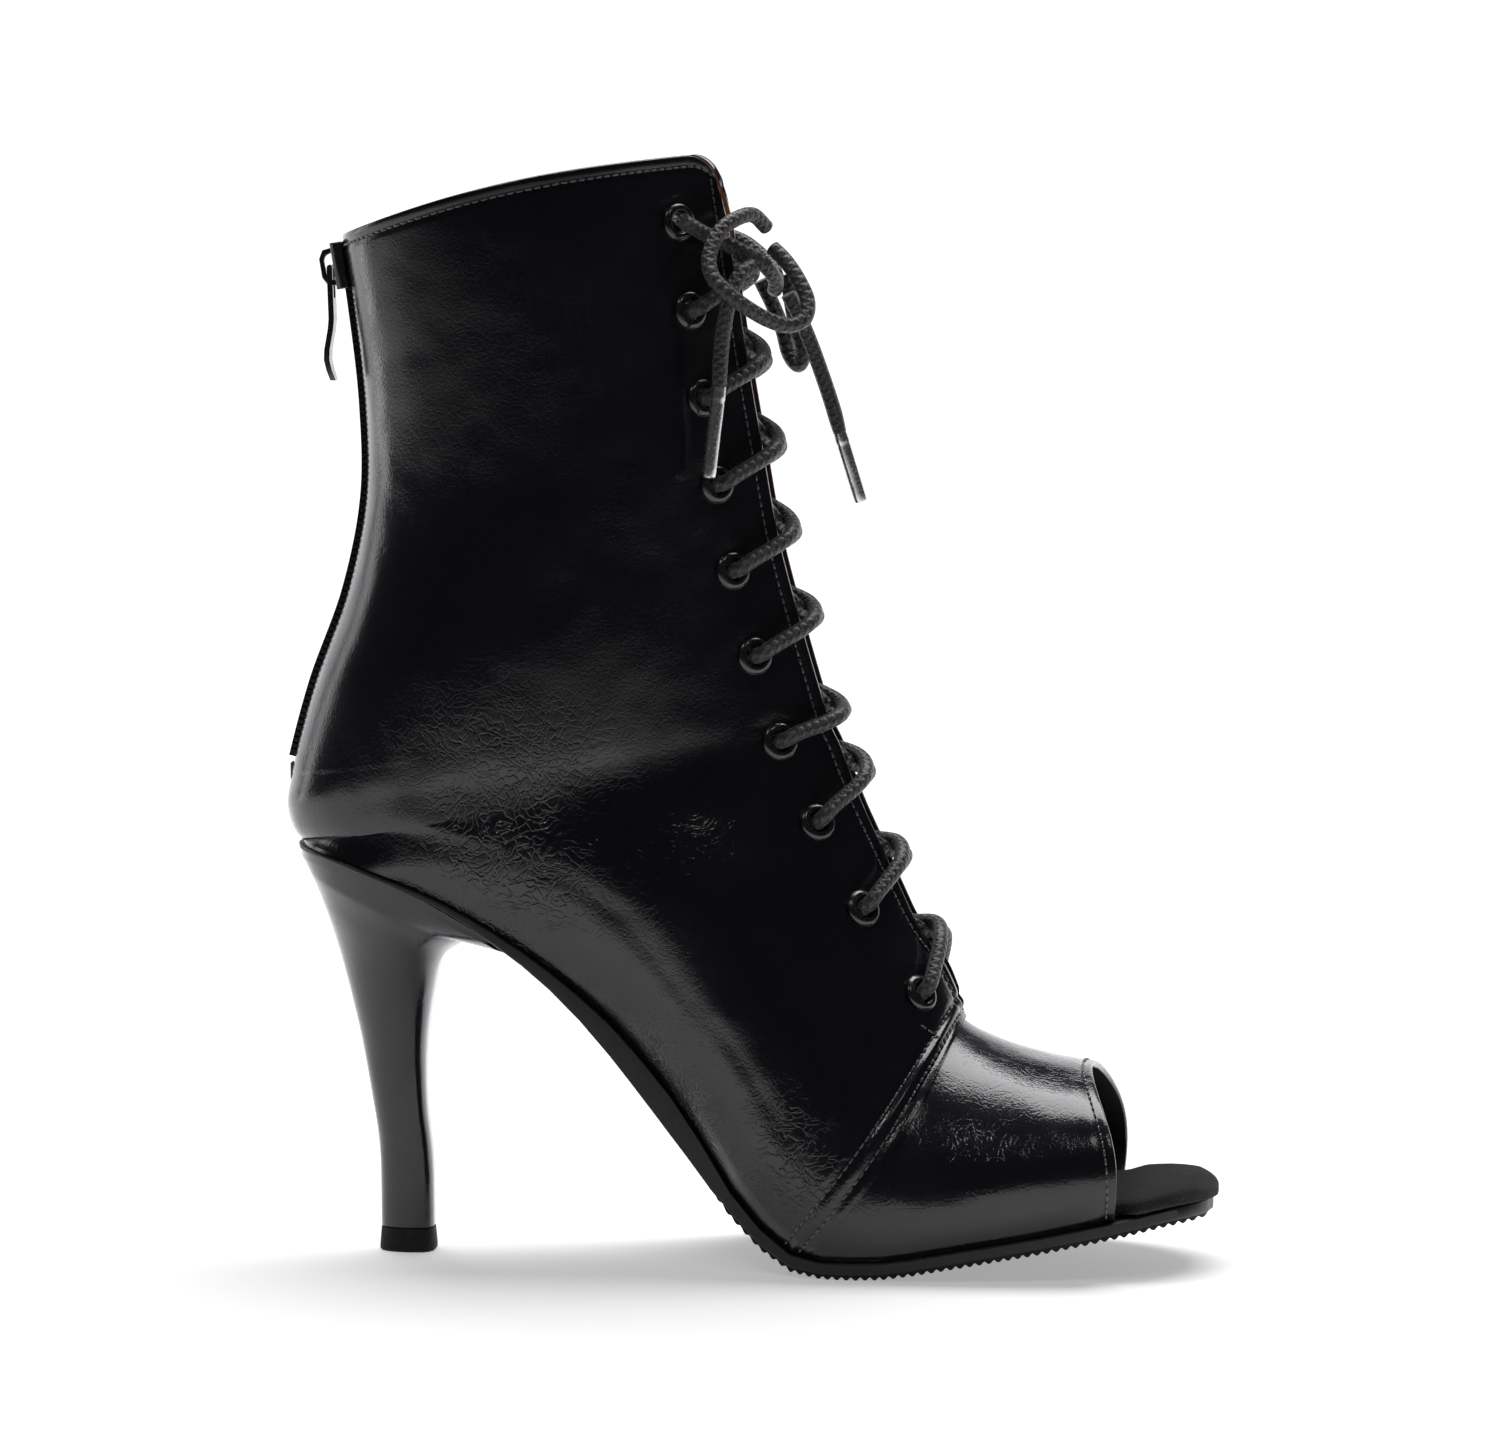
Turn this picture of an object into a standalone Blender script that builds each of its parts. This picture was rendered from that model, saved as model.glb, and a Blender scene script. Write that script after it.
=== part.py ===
"""A peep-toe latin dance boot, left foot: laced front, zip down the back, covered stiletto heel.

Metres, +Z up, +X to the toe, +Y to the outer side of the foot. The origin is on the floor, under the
middle of the heel's top piece.
"""

import math

import bmesh
import bpy
import numpy as np
from mathutils import Vector

MM = 0.001

# Overall sizes
SOLE_LENGTH = 215.5 * MM  # outsole, from the back of the heel seat to the toe
SEAT_OVERHANG = 25.3 * MM  # back of the heel seat behind the middle of the heel's foot
SOLE_WIDTH = 79 * MM  # outsole across the ball
SEAT_HEIGHT = 97.0 * MM  # top of the outsole at the back of the heel seat
SHAFT_RISE = 161.5 * MM  # front corner of the collar above the heel seat's back
SHAFT_WIDTH = 66 * MM  # shaft across the collar
BALL_WIDTH = 82 * MM  # upper across the ball
VAMP_HEIGHT = 56.5 * MM  # top of the vamp above the floor, at the foot of the throat
TOE_SPRING = 12.3 * MM  # underside of the sole at the toe tip
TOE_SWING = 4 * MM  # toe tip towards the inner side
HEEL_ROUND = 26 * MM  # how far the round back of the seat runs forward
TOE_ROUND = 43 * MM  # how far the round toe runs back

# Walls and fits
GAP = 0.3 * MM  # between pieces that lie on each other
WALL = 1.6 * MM  # leather and lining
OVERLAP_STEP = 0.9 * MM  # the quarters stand this much proud of the vamp
WELT = 1.2 * MM  # outsole beyond the leather's lower edge
FEATHER_GAP = 0.6 * MM  # under the leather's lower edge, upright

# Outsole
SOLE_THICKNESS = 4.0 * MM  # under the ball
SEAT_THICKNESS = 1.0 * MM  # over the heel
WAIST_THICKNESS = 9.6 * MM  # measured upright, in the middle of the arch
TREAD_DEPTH = 1.1 * MM
TREAD_INSET = 0.7 * MM
TREAD_START = 100 * MM  # from the back of the seat

# Insole
INSOLE_THICKNESS = 3.8 * MM
INSOLE_FIT = 1.7 * MM  # between the insole's edge and the wall, where the wall stands straight up
INSOLE_EDGE = 1.3 * MM  # how far its upper edge is rounded in
INSOLE_DOME = 0.6 * MM
TOE_OVERHANG = 1.2 * MM  # insole beyond the outsole at the open toe

# Heel and its top piece
HEEL_SEAT_WIDTH = 52 * MM
HEEL_FRONT = 27 * MM  # front of its top in front of the middle of its foot
HEEL_LIP = 1.6 * MM  # height of the rim under the seat
HEEL_FOOT_LENGTH = 12.6 * MM
HEEL_FOOT_WIDTH = 11.6 * MM
TOP_PIECE_HEIGHT = 5.6 * MM
TOP_PIECE_FLARE = 0.35 * MM

# Throat and eyelets
THROAT_GAP = 15 * MM  # between the flaps at the collar
COLLAR_CORNER = 9 * MM  # round corner of each flap
EYELET_COUNT = 10  # on each side
EYELET_PITCH = 20.4 * MM
EYELET_FIRST = 14.8 * MM  # first eyelet below the collar, along the flap's edge
EYELET_INSET = 13.2 * MM  # eyelet's centre behind the flap's edge
EYELET_RADIUS = 4.5 * MM
EYELET_HOLE = 2.5 * MM  # radius of its opening
EYELET_RIM = 0.8 * MM  # thickness of its flange
EYELET_BARREL = 0.6 * MM  # wall of its barrel

# Rear zip
ZIP_SLOT = 6.6 * MM
CHAIN_WIDTH = 5.6 * MM
CHAIN_PROUD = 1.8 * MM  # teeth beyond the leather
TAPE_WIDTH = 18 * MM
TAPE_THICKNESS = 0.7 * MM
SLIDER_LENGTH = 11 * MM
SLIDER_WIDTH = 8.8 * MM
SLIDER_PLATE = 1.3 * MM
SLIDER_BRIDGE = 3.4 * MM  # height of its bridge over the plate
BRIDGE_WIDTH = 2 * MM
BRIDGE_THICKNESS = 1.1 * MM
PULL_WIDTH = 5.2 * MM
PULL_THICKNESS = 1.3 * MM
PULL_LENGTH = 26.5 * MM
PULL_BAR = 0.6 * MM  # radius of the bar under the bridge

# Front lace
LACE = 3.6 * MM  # diameter
LACE_BULGE = 2.2 * MM  # its middle beyond the flaps' edges
AGLET = 3.4 * MM  # diameter

COLOURS = {
    "patent": ((0.012, 0.012, 0.015, 1), 0.22, 0.0),
    "sole": ((0.015, 0.015, 0.016, 1), 0.5, 0.0),
    "suede": ((0.02, 0.02, 0.021, 1), 0.9, 0.0),
    "rubber": ((0.014, 0.014, 0.015, 1), 0.6, 0.0),
    "enamel": ((0.01, 0.01, 0.011, 1), 0.15, 0.6),
    "tape": ((0.012, 0.012, 0.013, 1), 0.85, 0.0),
    "lace": ((0.045, 0.045, 0.052, 1), 0.8, 0.0),
    "metal": ((0.35, 0.35, 0.36, 1), 0.3, 1.0),
}

# Outline of the outsole: a row per station, as shares of its length and of half its width,
# before the ends are rounded
OUTLINE = (
    # along, inner, outer
    (-0.05, 0.700, 0.700),
    (0.117, 0.695, 0.695),
    (0.210, 0.680, 0.685),
    (0.303, 0.615, 0.655),
    (0.377, 0.552, 0.668),
    (0.442, 0.590, 0.765),
    (0.507, 0.762, 0.890),
    (0.572, 0.920, 0.985),
    (0.628, 0.982, 1.020),
    (0.698, 0.995, 1.020),
    (0.768, 0.978, 0.995),
    (0.815, 0.950, 0.965),
    (0.861, 0.915, 0.925),
    (0.930, 0.862, 0.862),
    (1.050, 0.770, 0.770),
)

# Side view of the outsole: its underside as a share of the seat's height above the floor, its thickness
# as shares of the thickness at the seat, the waist and the ball, and its rise as a share of the toe
# spring. The rows without height are the flat spot that the forefoot stands on.
SIDE = (
    # along, under, seat, waist, ball, spring
    (0.000, 0.9900, 1.0, 0.00, 0.0, 0.00),
    (0.045, 0.9720, 1.0, 0.00, 0.0, 0.00),
    (0.095, 0.9367, 1.0, 0.01, 0.0, 0.00),
    (0.165, 0.8697, 1.0, 0.06, 0.0, 0.00),
    (0.228, 0.7770, 0.9, 0.22, 0.0, 0.00),
    (0.275, 0.6930, 0.6, 0.36, 0.0, 0.00),
    (0.315, 0.6030, 0.3, 0.52, 0.1, 0.00),
    (0.352, 0.5036, 0.0, 0.72, 0.2, 0.00),
    (0.383, 0.4137, 0.0, 0.84, 0.2, 0.00),
    (0.412, 0.3297, 0.0, 0.90, 0.2, 0.00),
    (0.438, 0.2552, 0.0, 0.78, 0.4, 0.00),
    (0.461, 0.1924, 0.0, 0.40, 0.8, 0.00),
    (0.483, 0.1301, 0.0, 0.22, 1.0, 0.00),
    (0.508, 0.0749, 0.0, 0.14, 1.0, 0.00),
    (0.532, 0.0339, 0.0, 0.07, 1.0, 0.00),
    (0.552, 0.0108, 0.0, 0.02, 1.0, 0.00),
    (0.571, 0.0000, 0.0, 0.00, 1.0, 0.00),
    (0.600, 0.0000, 0.0, 0.00, 1.0, 0.00),
    (0.631, 0.0000, 0.0, 0.00, 1.0, 0.00),
    (0.680, 0.0000, 0.0, 0.00, 1.0, 0.10),
    (0.718, 0.0000, 0.0, 0.00, 1.0, 0.22),
    (0.805, 0.0000, 0.0, 0.00, 1.0, 0.49),
    (0.902, 0.0000, 0.0, 0.00, 1.0, 0.80),
    (0.957, 0.0000, 0.0, 0.00, 1.0, 0.96),
    (1.010, 0.0000, 0.0, 0.00, 1.0, 1.01),
)

# Sections of the upper, from the collar down and forward to the open toe. Each runs from a point on the
# back or the lower edge to one on the front: along is a share of the sole's length, seat of the seat's
# height, rise of the shaft's rise, vamp of the vamp's height. Half widths are shares of half the shaft's
# and half the ball's width; lean and ridge move the middle and the front line to the outer side, as
# shares of the ball's width. Keen is 1 for a round front and over 2 for flaps that come together like a
# wedge, widest is where along the section it is widest, bow its arch to the toe as a share of its length.
SECTIONS = (
    # back: along, seat, rise | front: along, seat, rise, vamp | shaft, ball, lean, ridge | keen, widest, bow
    (0.0520, 1.000, 0.879, 0.4620, 1.000, 1.000, 0.000, 1.000, 0.000, 0.00, 0.000, 2.60, 0.500, -0.036),
    (0.0640, 1.000, 0.776, 0.4755, 1.000, 0.860, 0.000, 0.985, 0.000, 0.00, 0.000, 2.60, 0.500, -0.010),
    (0.0755, 1.000, 0.638, 0.4915, 1.000, 0.712, 0.000, 0.955, 0.000, 0.00, 0.000, 2.60, 0.500, 0.000),
    (0.0765, 1.000, 0.502, 0.5090, 1.000, 0.575, 0.000, 0.940, 0.000, 0.00, 0.000, 2.60, 0.490, 0.000),
    (0.0560, 1.000, 0.365, 0.5265, 1.000, 0.445, 0.000, 0.960, 0.000, 0.00, 0.000, 2.60, 0.460, 0.000),
    (0.0190, 1.000, 0.229, 0.5510, 1.000, 0.320, 0.000, 0.985, 0.000, 0.00, 0.000, 2.50, 0.430, 0.000),
    (-0.0070, 1.000, 0.099, 0.5725, 1.000, 0.221, 0.000, 0.965, 0.000, 0.00, 0.000, 2.40, 0.400, 0.000),
    (-0.0120, 1.000, 0.043, 0.5835, 1.000, 0.175, 0.000, 0.930, 0.000, 0.00, 0.000, 2.30, 0.385, 0.000),
    (0.0056, 1.000, 0.000, 0.5925, 0.900, 0.000, 0.600, 0.000, 0.738, 0.00, 0.000, 2.20, 0.370, 0.000),
    (0.0520, 1.000, 0.000, 0.6050, 0.800, 0.000, 0.645, 0.000, 0.740, 0.00, 0.000, 2.15, 0.360, 0.000),
    (0.1410, 1.000, 0.000, 0.6200, 0.680, 0.000, 0.710, 0.000, 0.752, 0.00, 0.000, 2.10, 0.370, 0.000),
    (0.2480, 1.000, 0.000, 0.6400, 0.540, 0.000, 0.785, 0.000, 0.770, 0.00, 0.000, 2.10, 0.400, 0.000),
    (0.3300, 1.000, 0.000, 0.6610, 0.400, 0.000, 0.850, 0.000, 0.800, 0.00, -0.004, 2.10, 0.400, 0.005),
    (0.3960, 1.000, 0.000, 0.6800, 0.280, 0.000, 0.905, 0.000, 0.845, 0.00, -0.008, 2.00, 0.390, 0.015),
    (0.4510, 1.000, 0.000, 0.7010, 0.180, 0.000, 0.950, 0.000, 0.890, 0.00, -0.012, 1.90, 0.360, 0.025),
    (0.5070, 1.000, 0.000, 0.7170, 0.080, 0.000, 0.985, 0.000, 0.945, 0.00, -0.016, 1.70, 0.320, 0.035),
    (0.5720, 1.000, 0.000, 0.7280, 0.000, 0.000, 1.000, 0.000, 0.990, 0.00, -0.020, 1.25, 0.280, 0.045),
    (0.6510, 1.000, 0.000, 0.7690, 0.000, 0.000, 0.915, 0.000, 1.010, 0.00, -0.024, 1.05, 0.260, 0.055),
    (0.7670, 1.000, 0.000, 0.8160, 0.000, 0.000, 0.860, 0.000, 0.985, 0.00, -0.028, 1.00, 0.270, 0.070),
    (0.8970, 1.000, 0.000, 0.8670, 0.000, 0.000, 0.822, 0.000, 0.900, 0.00, -0.030, 1.00, 0.300, 0.095),
)
SEAT_ROW = 8  # the section whose lower end is the back of the heel seat
SEAM_ROW = 16  # the seam where the quarters lap the vamp
ZIP_FOOT_ROW = 6.0
SLIDER_ROW = 0.42
THROAT_FOOT_ROW = 15.7

# Half the throat's gap along the sections, as a share of its gap at the collar
THROAT = (
    # row, gap
    (0.0, 0.50),
    (4.0, 0.46),
    (9.0, 0.40),
    (13.0, 0.32),
    (15.0, 0.22),
    (15.7, 0.13),
)

# Middle line of the pull tab as it hangs: place in front of the pivot and below it, as shares of its length
PULL_LINE = (
    # down, forward
    (0.00, 0.000),
    (0.22, 0.004),
    (0.37, 0.016),
    (0.53, 0.010),
    (0.68, -0.018),
    (0.81, -0.028),
    (1.00, 0.024),
)

# Middle lines of the bow's cords in millimetres. The knot runs from the top eyelet of the inner flap to
# that of the outer flap.
CORDS = {
    "lace_knot": (
        (67.2, -20.6, 243.2), (71.6, -15.2, 240.2), (77.6, -12.0, 237.2), (84.0, -9.4, 233.8),
        (87.2, -4.0, 229.6), (86.8, 1.6, 226.8), (86.2, 6.6, 231.0), (79.6, 12.0, 237.0),
        (71.6, 15.4, 240.2), (67.2, 20.6, 243.2),
    ),
    "lace_loop_inner": (
        (85.2, -4.2, 241.4), (82.6, -8.6, 244.2), (79.4, -13.2, 243.6), (75.8, -17.2, 240.8),
        (73.6, -20.6, 235.6), (74.2, -23.4, 231.0), (77.4, -24.6, 227.2), (82.2, -23.4, 223.4),
        (87.0, -20.4, 220.4), (91.4, -17.6, 219.0), (95.0, -15.2, 220.4), (95.6, -13.0, 224.4),
        (93.4, -11.0, 229.2), (90.2, -8.8, 233.6), (87.0, -7.0, 236.6),
    ),
    "lace_loop_outer": (
        (89.3, 8.9, 230.1), (90.0, 9.0, 224.0), (91.2, 8.8, 218.0),
        (92.8, 9.4, 212.2), (91.6, 11.2, 208.8), (89.2, 12.8, 211.4), (87.6, 13.0, 217.2),
        (85.2, 12.8, 223.2), (82.6, 12.0, 228.6),
    ),
    "lace_end_inner": (
        (80.2, -16.2, 230.6), (78.2, -18.6, 226.0), (77.0, -20.2, 219.6), (76.2, -21.0, 212.4),
        (75.8, -21.4, 204.4),
    ),
    "lace_end_outer": (
        (89.9, 1.5, 225.7), (92.2, 2.6, 221.0), (94.6, 4.6, 215.0), (97.2, 6.2, 207.6),
        (99.8, 7.2, 199.6), (101.6, 7.8, 193.0),
    ),
}
AGLETS = {
    "aglet_inner": ((75.7, -21.5, 203.8), (73.6, -23.2, 184.0)),
    "aglet_outer": ((101.8, 7.9, 192.3), (106.4, 9.6, 176.8)),
}

# The covered heel, from its foot to the seat: back and front as shares of the foot's length and the
# height between foot and seat, half width as shares of the foot's and the seat's width
HEEL = (
    # back, back height, front, front height, foot, seat width
    (-0.500, 0.000, 0.500, 0.000, 0.50, 0.000),
    (-0.530, 0.201, 0.475, 0.175, 0.50, 0.010),
    (-0.690, 0.356, 0.375, 0.319, 0.50, 0.025),
    (-0.900, 0.516, 0.375, 0.462, 0.48, 0.070),
    (-1.250, 0.713, 0.500, 0.601, 0.36, 0.170),
    (-1.590, 0.857, 0.720, 0.707, 0.20, 0.310),
    (-1.820, 0.931, 1.200, 0.757, 0.08, 0.420),
)


def smooth(rows, at):
    """Values of a table's columns at places on its first column: a cubic through every row.

    Each stretch is a Hermite curve whose slopes at its ends are those of the line through the rows on
    either side.
    """
    table = np.array(rows, float)
    knots, values = table[:, 0], table[:, 1:]
    slopes = np.gradient(values, knots, axis=0)
    at = np.clip(np.atleast_1d(np.asarray(at, float)), knots[0], knots[-1])
    i = np.clip(np.searchsorted(knots, at, side="right") - 1, 0, len(knots) - 2)
    span = (knots[i + 1] - knots[i])[:, None]
    t = (at - knots[i])[:, None] / span
    return (
        (2 * t**3 - 3 * t**2 + 1) * values[i]
        + (t**3 - 2 * t**2 + t) * span * slopes[i]
        + (3 * t**2 - 2 * t**3) * values[i + 1]
        + (t**3 - t**2) * span * slopes[i + 1]
    )


def along(x):
    """Share of the sole's length at a place along it."""
    return (np.asarray(x, float) + SEAT_OVERHANG) / SOLE_LENGTH


def middle_line(x):
    """The sole's middle line swings to the inner side from the ball to the toe tip."""
    forward = np.clip((along(x) - 0.58) / 0.42, 0, None)
    return -TOE_SWING * forward**2


def stations(low, high, count, crowd=0.75):
    """Places from low to high, closer together towards both ends."""
    t = np.linspace(0, 1, count)
    return low + (high - low) * ((1 - crowd) * t + crowd * (1 - np.cos(math.pi * t)) / 2)


STATIONS = stations(0.0006, 0.9994, 44, crowd=0.8) * SOLE_LENGTH - SEAT_OVERHANG


def sole_under(x):
    """Underside of the outsole, straight between its stations, so that what meets it keeps its gap."""
    table = smooth(SIDE, along(STATIONS))
    under = np.maximum(table[:, 0], 0) * SEAT_HEIGHT + np.maximum(table[:, 4], 0) * TOE_SPRING
    return np.interp(x, STATIONS, under)


def sole_top(x):
    """Top of the outsole, straight between its stations too."""
    table = smooth(SIDE, along(STATIONS))
    thick = table[:, 1] * SEAT_THICKNESS + table[:, 2] * WAIST_THICKNESS + table[:, 3] * SOLE_THICKNESS
    return sole_under(x) + np.interp(x, STATIONS, thick)


def outline(inset, samples=400):
    """Both edges of the outsole's outline moved in by inset: x, inner y and outer y.

    Half widths from the table are multiplied by a quarter ellipse at the back and by a fuller quarter
    curve at the toe.
    """
    turn = np.linspace(0, math.pi, samples)
    x = (1 - np.cos(turn)) / 2 * SOLE_LENGTH - SEAT_OVERHANG
    table = smooth(OUTLINE, along(x)) * SOLE_WIDTH / 2
    back = np.clip((x + SEAT_OVERHANG) / HEEL_ROUND, 0, 1)
    front = np.clip((SOLE_LENGTH - SEAT_OVERHANG - x) / TOE_ROUND, 0, 1)
    ends = np.sqrt(1 - (1 - back) ** 2) * (1 - (1 - front) ** 2.3) ** (1 / 2.3)
    centre = middle_line(x)
    edges = []
    for side, column in ((-1, 0), (1, 1)):
        y = centre + side * table[:, column] * ends
        dx, dy = np.gradient(x), np.gradient(y)
        size = np.hypot(dx, dy)
        edges.append((x + side * inset * dy / size, y - side * inset * dx / size))
    low = max(edge[0].min() for edge in edges)
    high = min(edge[0].max() for edge in edges)
    stations = low + (high - low) * (1 - np.cos(turn)) / 2
    return stations, *(np.interp(stations, *edge) for edge in edges)


FEATHER = outline(WELT)  # the leather's lower edge


def feather_half(x, side):
    """Half width of the upper's open underside, from the sole's middle line."""
    y = np.interp(x, FEATHER[0], FEATHER[1 if side < 0 else 2])
    inside = (x > FEATHER[0][0]) & (x < FEATHER[0][-1])
    return np.where(inside, np.clip(side * (y - middle_line(x)), 0, None), 0)


def section_ends(row):
    """Both ends of a section in the side view, and its other columns."""
    numbered = [(i, *columns) for i, columns in enumerate(SECTIONS)]
    c = smooth(numbered, row)
    back_x = c[:, 0] * SOLE_LENGTH - SEAT_OVERHANG
    back_x = np.where(row >= SEAT_ROW, np.maximum(back_x, FEATHER[0][0]), back_x)
    shaft_z = c[:, 1] * SEAT_HEIGHT + c[:, 2] * SHAFT_RISE + GAP
    back_z = np.where(row >= SEAT_ROW, sole_top(back_x) + FEATHER_GAP, shaft_z)
    front_x = c[:, 3] * SOLE_LENGTH - SEAT_OVERHANG
    front_z = c[:, 4] * SEAT_HEIGHT + c[:, 5] * SHAFT_RISE + c[:, 6] * VAMP_HEIGHT
    return np.stack([back_x, back_z], 1), np.stack([front_x, front_z], 1), c[:, 7:]


def throat_half(row):
    half = smooth(THROAT, row)[:, 0] * THROAT_GAP
    return np.where(row <= THROAT_FOOT_ROW, half, 0)


def slot_half(row):
    half = ZIP_SLOT / 2 * np.clip((ZIP_FOOT_ROW + 0.9 - row) / 1.2, 0, 1)
    return np.where(row <= ZIP_FOOT_ROW, half, 0)


def surface(row, turn, side):
    """Point of the upper's outer face before the overlap's step.

    Row picks the section. Turn runs from 0 at its back or lower end to pi at its front. Up to pi / 2 it
    is the part of an ellipse from the zip's slot or the lower edge to the widest place, and from there
    the half width falls to the throat's edge or the vamp's ridge as a power of a sine.
    """
    row, turn = (a.ravel() for a in np.broadcast_arrays(*map(np.atleast_1d, (row, turn))))
    back, front, c = section_ends(row)
    shaft, ball, lean, ridge, keen, widest, bow = c.T
    half = shaft * SHAFT_WIDTH / 2 + ball * BALL_WIDTH / 2 + side * lean * BALL_WIDTH
    foot = np.where(row >= SEAT_ROW, feather_half(back[:, 0], side), slot_half(row))
    edge = throat_half(row)
    sine, cosine = np.clip(np.sin(turn), 0, 1), np.cos(turn)
    upper = turn > math.pi / 2
    cut = np.arcsin(np.clip(foot / half, 0, 0.95))
    on = cut + (1 - 2 * cut / math.pi) * np.minimum(turn, math.pi / 2)
    part = np.where(
        upper,
        widest + (1 - widest) * np.clip(-cosine, 0, 1) ** 0.93,
        widest * (1 - np.clip(np.cos(on) / np.cos(cut), 0, 1) ** 0.93),
    )
    low = foot + half * (np.sin(on) - np.sin(cut))
    out = np.where(upper, edge + (half - edge) * sine**keen, low)
    way = front - back
    length = np.linalg.norm(way, axis=1)
    across = np.stack([way[:, 1], -way[:, 0]], 1) / length[:, None]
    place = back + way * part[:, None] + across * (bow * length * np.sin(math.pi * part))[:, None]
    bottom = np.where(row >= SEAT_ROW, middle_line(back[:, 0]), 0)
    y = bottom * (1 - part) + ridge * BALL_WIDTH * part + side * out
    return np.stack([place[:, 0], y, place[:, 1]], 1)


def facing(row, turn, side):
    """Unit normal of the outer face, from small steps along the row and round it.

    At the lower edge it is the one a little above, so that the wall stands on its edge.
    """
    row, turn = (a.ravel() for a in np.broadcast_arrays(*map(np.atleast_1d, (row, turn))))
    step = 0.004
    last = len(SECTIONS) - 1
    turn = np.where(row >= SEAT_ROW - 0.3, np.maximum(turn, 0.35), turn)
    low, high = np.clip(row - step, 0, last), np.clip(row + step, 0, last)
    down = surface(high, turn, side) - surface(low, turn, side)
    back, fore = np.clip(turn - step, 0, math.pi), np.clip(turn + step, 0, math.pi)
    round_it = surface(row, fore, side) - surface(row, back, side)
    normal = np.cross(round_it, down) * side
    return normal / np.linalg.norm(normal, axis=1)[:, None]


def new_object(name, colour, mesh):
    obj = bpy.data.objects.new(name, mesh)
    bpy.context.scene.collection.objects.link(obj)
    obj.data.materials.append(material(colour))
    return obj


def material(colour):
    found = bpy.data.materials.get(colour)
    if found:
        return found
    made = bpy.data.materials.new(colour)
    made.use_nodes = True
    shader = made.node_tree.nodes["Principled BSDF"]
    base, rough, metallic = COLOURS[colour]
    shader.inputs["Base Color"].default_value = base
    shader.inputs["Roughness"].default_value = rough
    shader.inputs["Metallic"].default_value = metallic
    return made


def finish(name, colour, bm, sharp=math.radians(35)):
    bmesh.ops.recalc_face_normals(bm, faces=bm.faces)
    mesh = bpy.data.meshes.new(name)
    bm.to_mesh(mesh)
    bm.free()
    mesh.shade_smooth()
    mesh.set_sharp_from_angle(angle=sharp)
    return new_object(name, colour, mesh)


def loft(rings):
    """Closed solid through rings of equal point counts, with flat ends."""
    bm = bmesh.new()
    loops = [[bm.verts.new(point) for point in ring] for ring in rings]
    for first, second in zip(loops, loops[1:]):
        for i in range(len(first)):
            j = (i + 1) % len(first)
            bm.faces.new((first[i], first[j], second[j], second[i]))
    bm.faces.new(loops[0][::-1])
    bm.faces.new(loops[-1])
    return bm


def boolean(target, cutter, operation):
    """Applies a Boolean to the target with the exact solver, then deletes the cutter."""
    modifier = target.modifiers.new(operation.lower(), "BOOLEAN")
    modifier.operation = operation
    modifier.solver = "EXACT"
    modifier.object = cutter
    graph = bpy.context.evaluated_depsgraph_get()
    result = bpy.data.meshes.new_from_object(target.evaluated_get(graph))
    target.modifiers.remove(modifier)
    old = target.data
    target.data = result
    bpy.data.meshes.remove(old)
    bpy.data.objects.remove(cutter)


def make_outsole():
    """A band with a tread layer set in under the forefoot, thick in the arch and thin over the heel."""
    band_x, band_inner, band_outer = outline(0)
    tread_x, tread_inner, tread_outer = outline(TREAD_INSET)
    rings = []
    for x in STATIONS:
        share = along(x)
        inner, outer = np.interp(x, band_x, band_inner), np.interp(x, band_x, band_outer)
        top, bottom = sole_top(x), sole_under(x)
        tread = TREAD_DEPTH * min(1, max(0.02, (along(x) * SOLE_LENGTH - TREAD_START) / (2 * MM)))
        inset_x = tread_x[0] + share * (tread_x[-1] - tread_x[0])
        set_in = np.interp(inset_x, tread_x, tread_inner), np.interp(inset_x, tread_x, tread_outer)
        under = sole_under(inset_x)
        rings.append(
            (
                (x, inner, top),
                (x, inner, bottom + tread),
                (inset_x, set_in[0], under + tread),
                (inset_x, set_in[0], under),
                (inset_x, set_in[1], under),
                (inset_x, set_in[1], under + tread),
                (x, outer, bottom + tread),
                (x, outer, top),
            )
        )
    return finish("outsole", "sole", loft(rings))


def make_insole():
    """A padded insole inside the upper, which runs on to the tip of the open toe."""
    inside_x, inside_inner, inside_outer = outline(WELT + WALL + INSOLE_FIT)
    toe_x, toe_inner, toe_outer = outline(-TOE_OVERHANG)
    peep_x = section_ends(np.array([len(SECTIONS) - 1.0]))[0][0, 0]
    start, end = inside_x[0] + 0.4 * MM, toe_x[-1] - 0.05 * MM
    rings = []
    for x in (start, *STATIONS[(STATIONS > start) & (STATIONS < end - 0.3 * MM)], end):
        free = min(1, max(0, (x - peep_x - 1.5 * MM) / (4 * MM)))
        edges = []
        for inside, toe in ((inside_inner, toe_inner), (inside_outer, toe_outer)):
            held = np.interp(x, inside_x, inside)
            edges.append(held + free * (np.interp(x, toe_x, toe) - held))
        (inner, outer), middle = edges, (edges[0] + edges[1]) / 2
        edge = min(INSOLE_EDGE, 0.3 * (outer - inner))
        floor = sole_top(x) + GAP
        side = floor + 0.55 * INSOLE_THICKNESS
        top = floor + INSOLE_THICKNESS
        rings.append(
            (
                (x, inner + 0.4 * edge, floor),
                (x, outer - 0.4 * edge, floor),
                (x, outer, side),
                (x, outer - edge, top),
                (x, middle, top + INSOLE_DOME),
                (x, inner + edge, top),
                (x, inner, side),
            )
        )
    return finish("insole", "suede", loft(rings))


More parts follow.
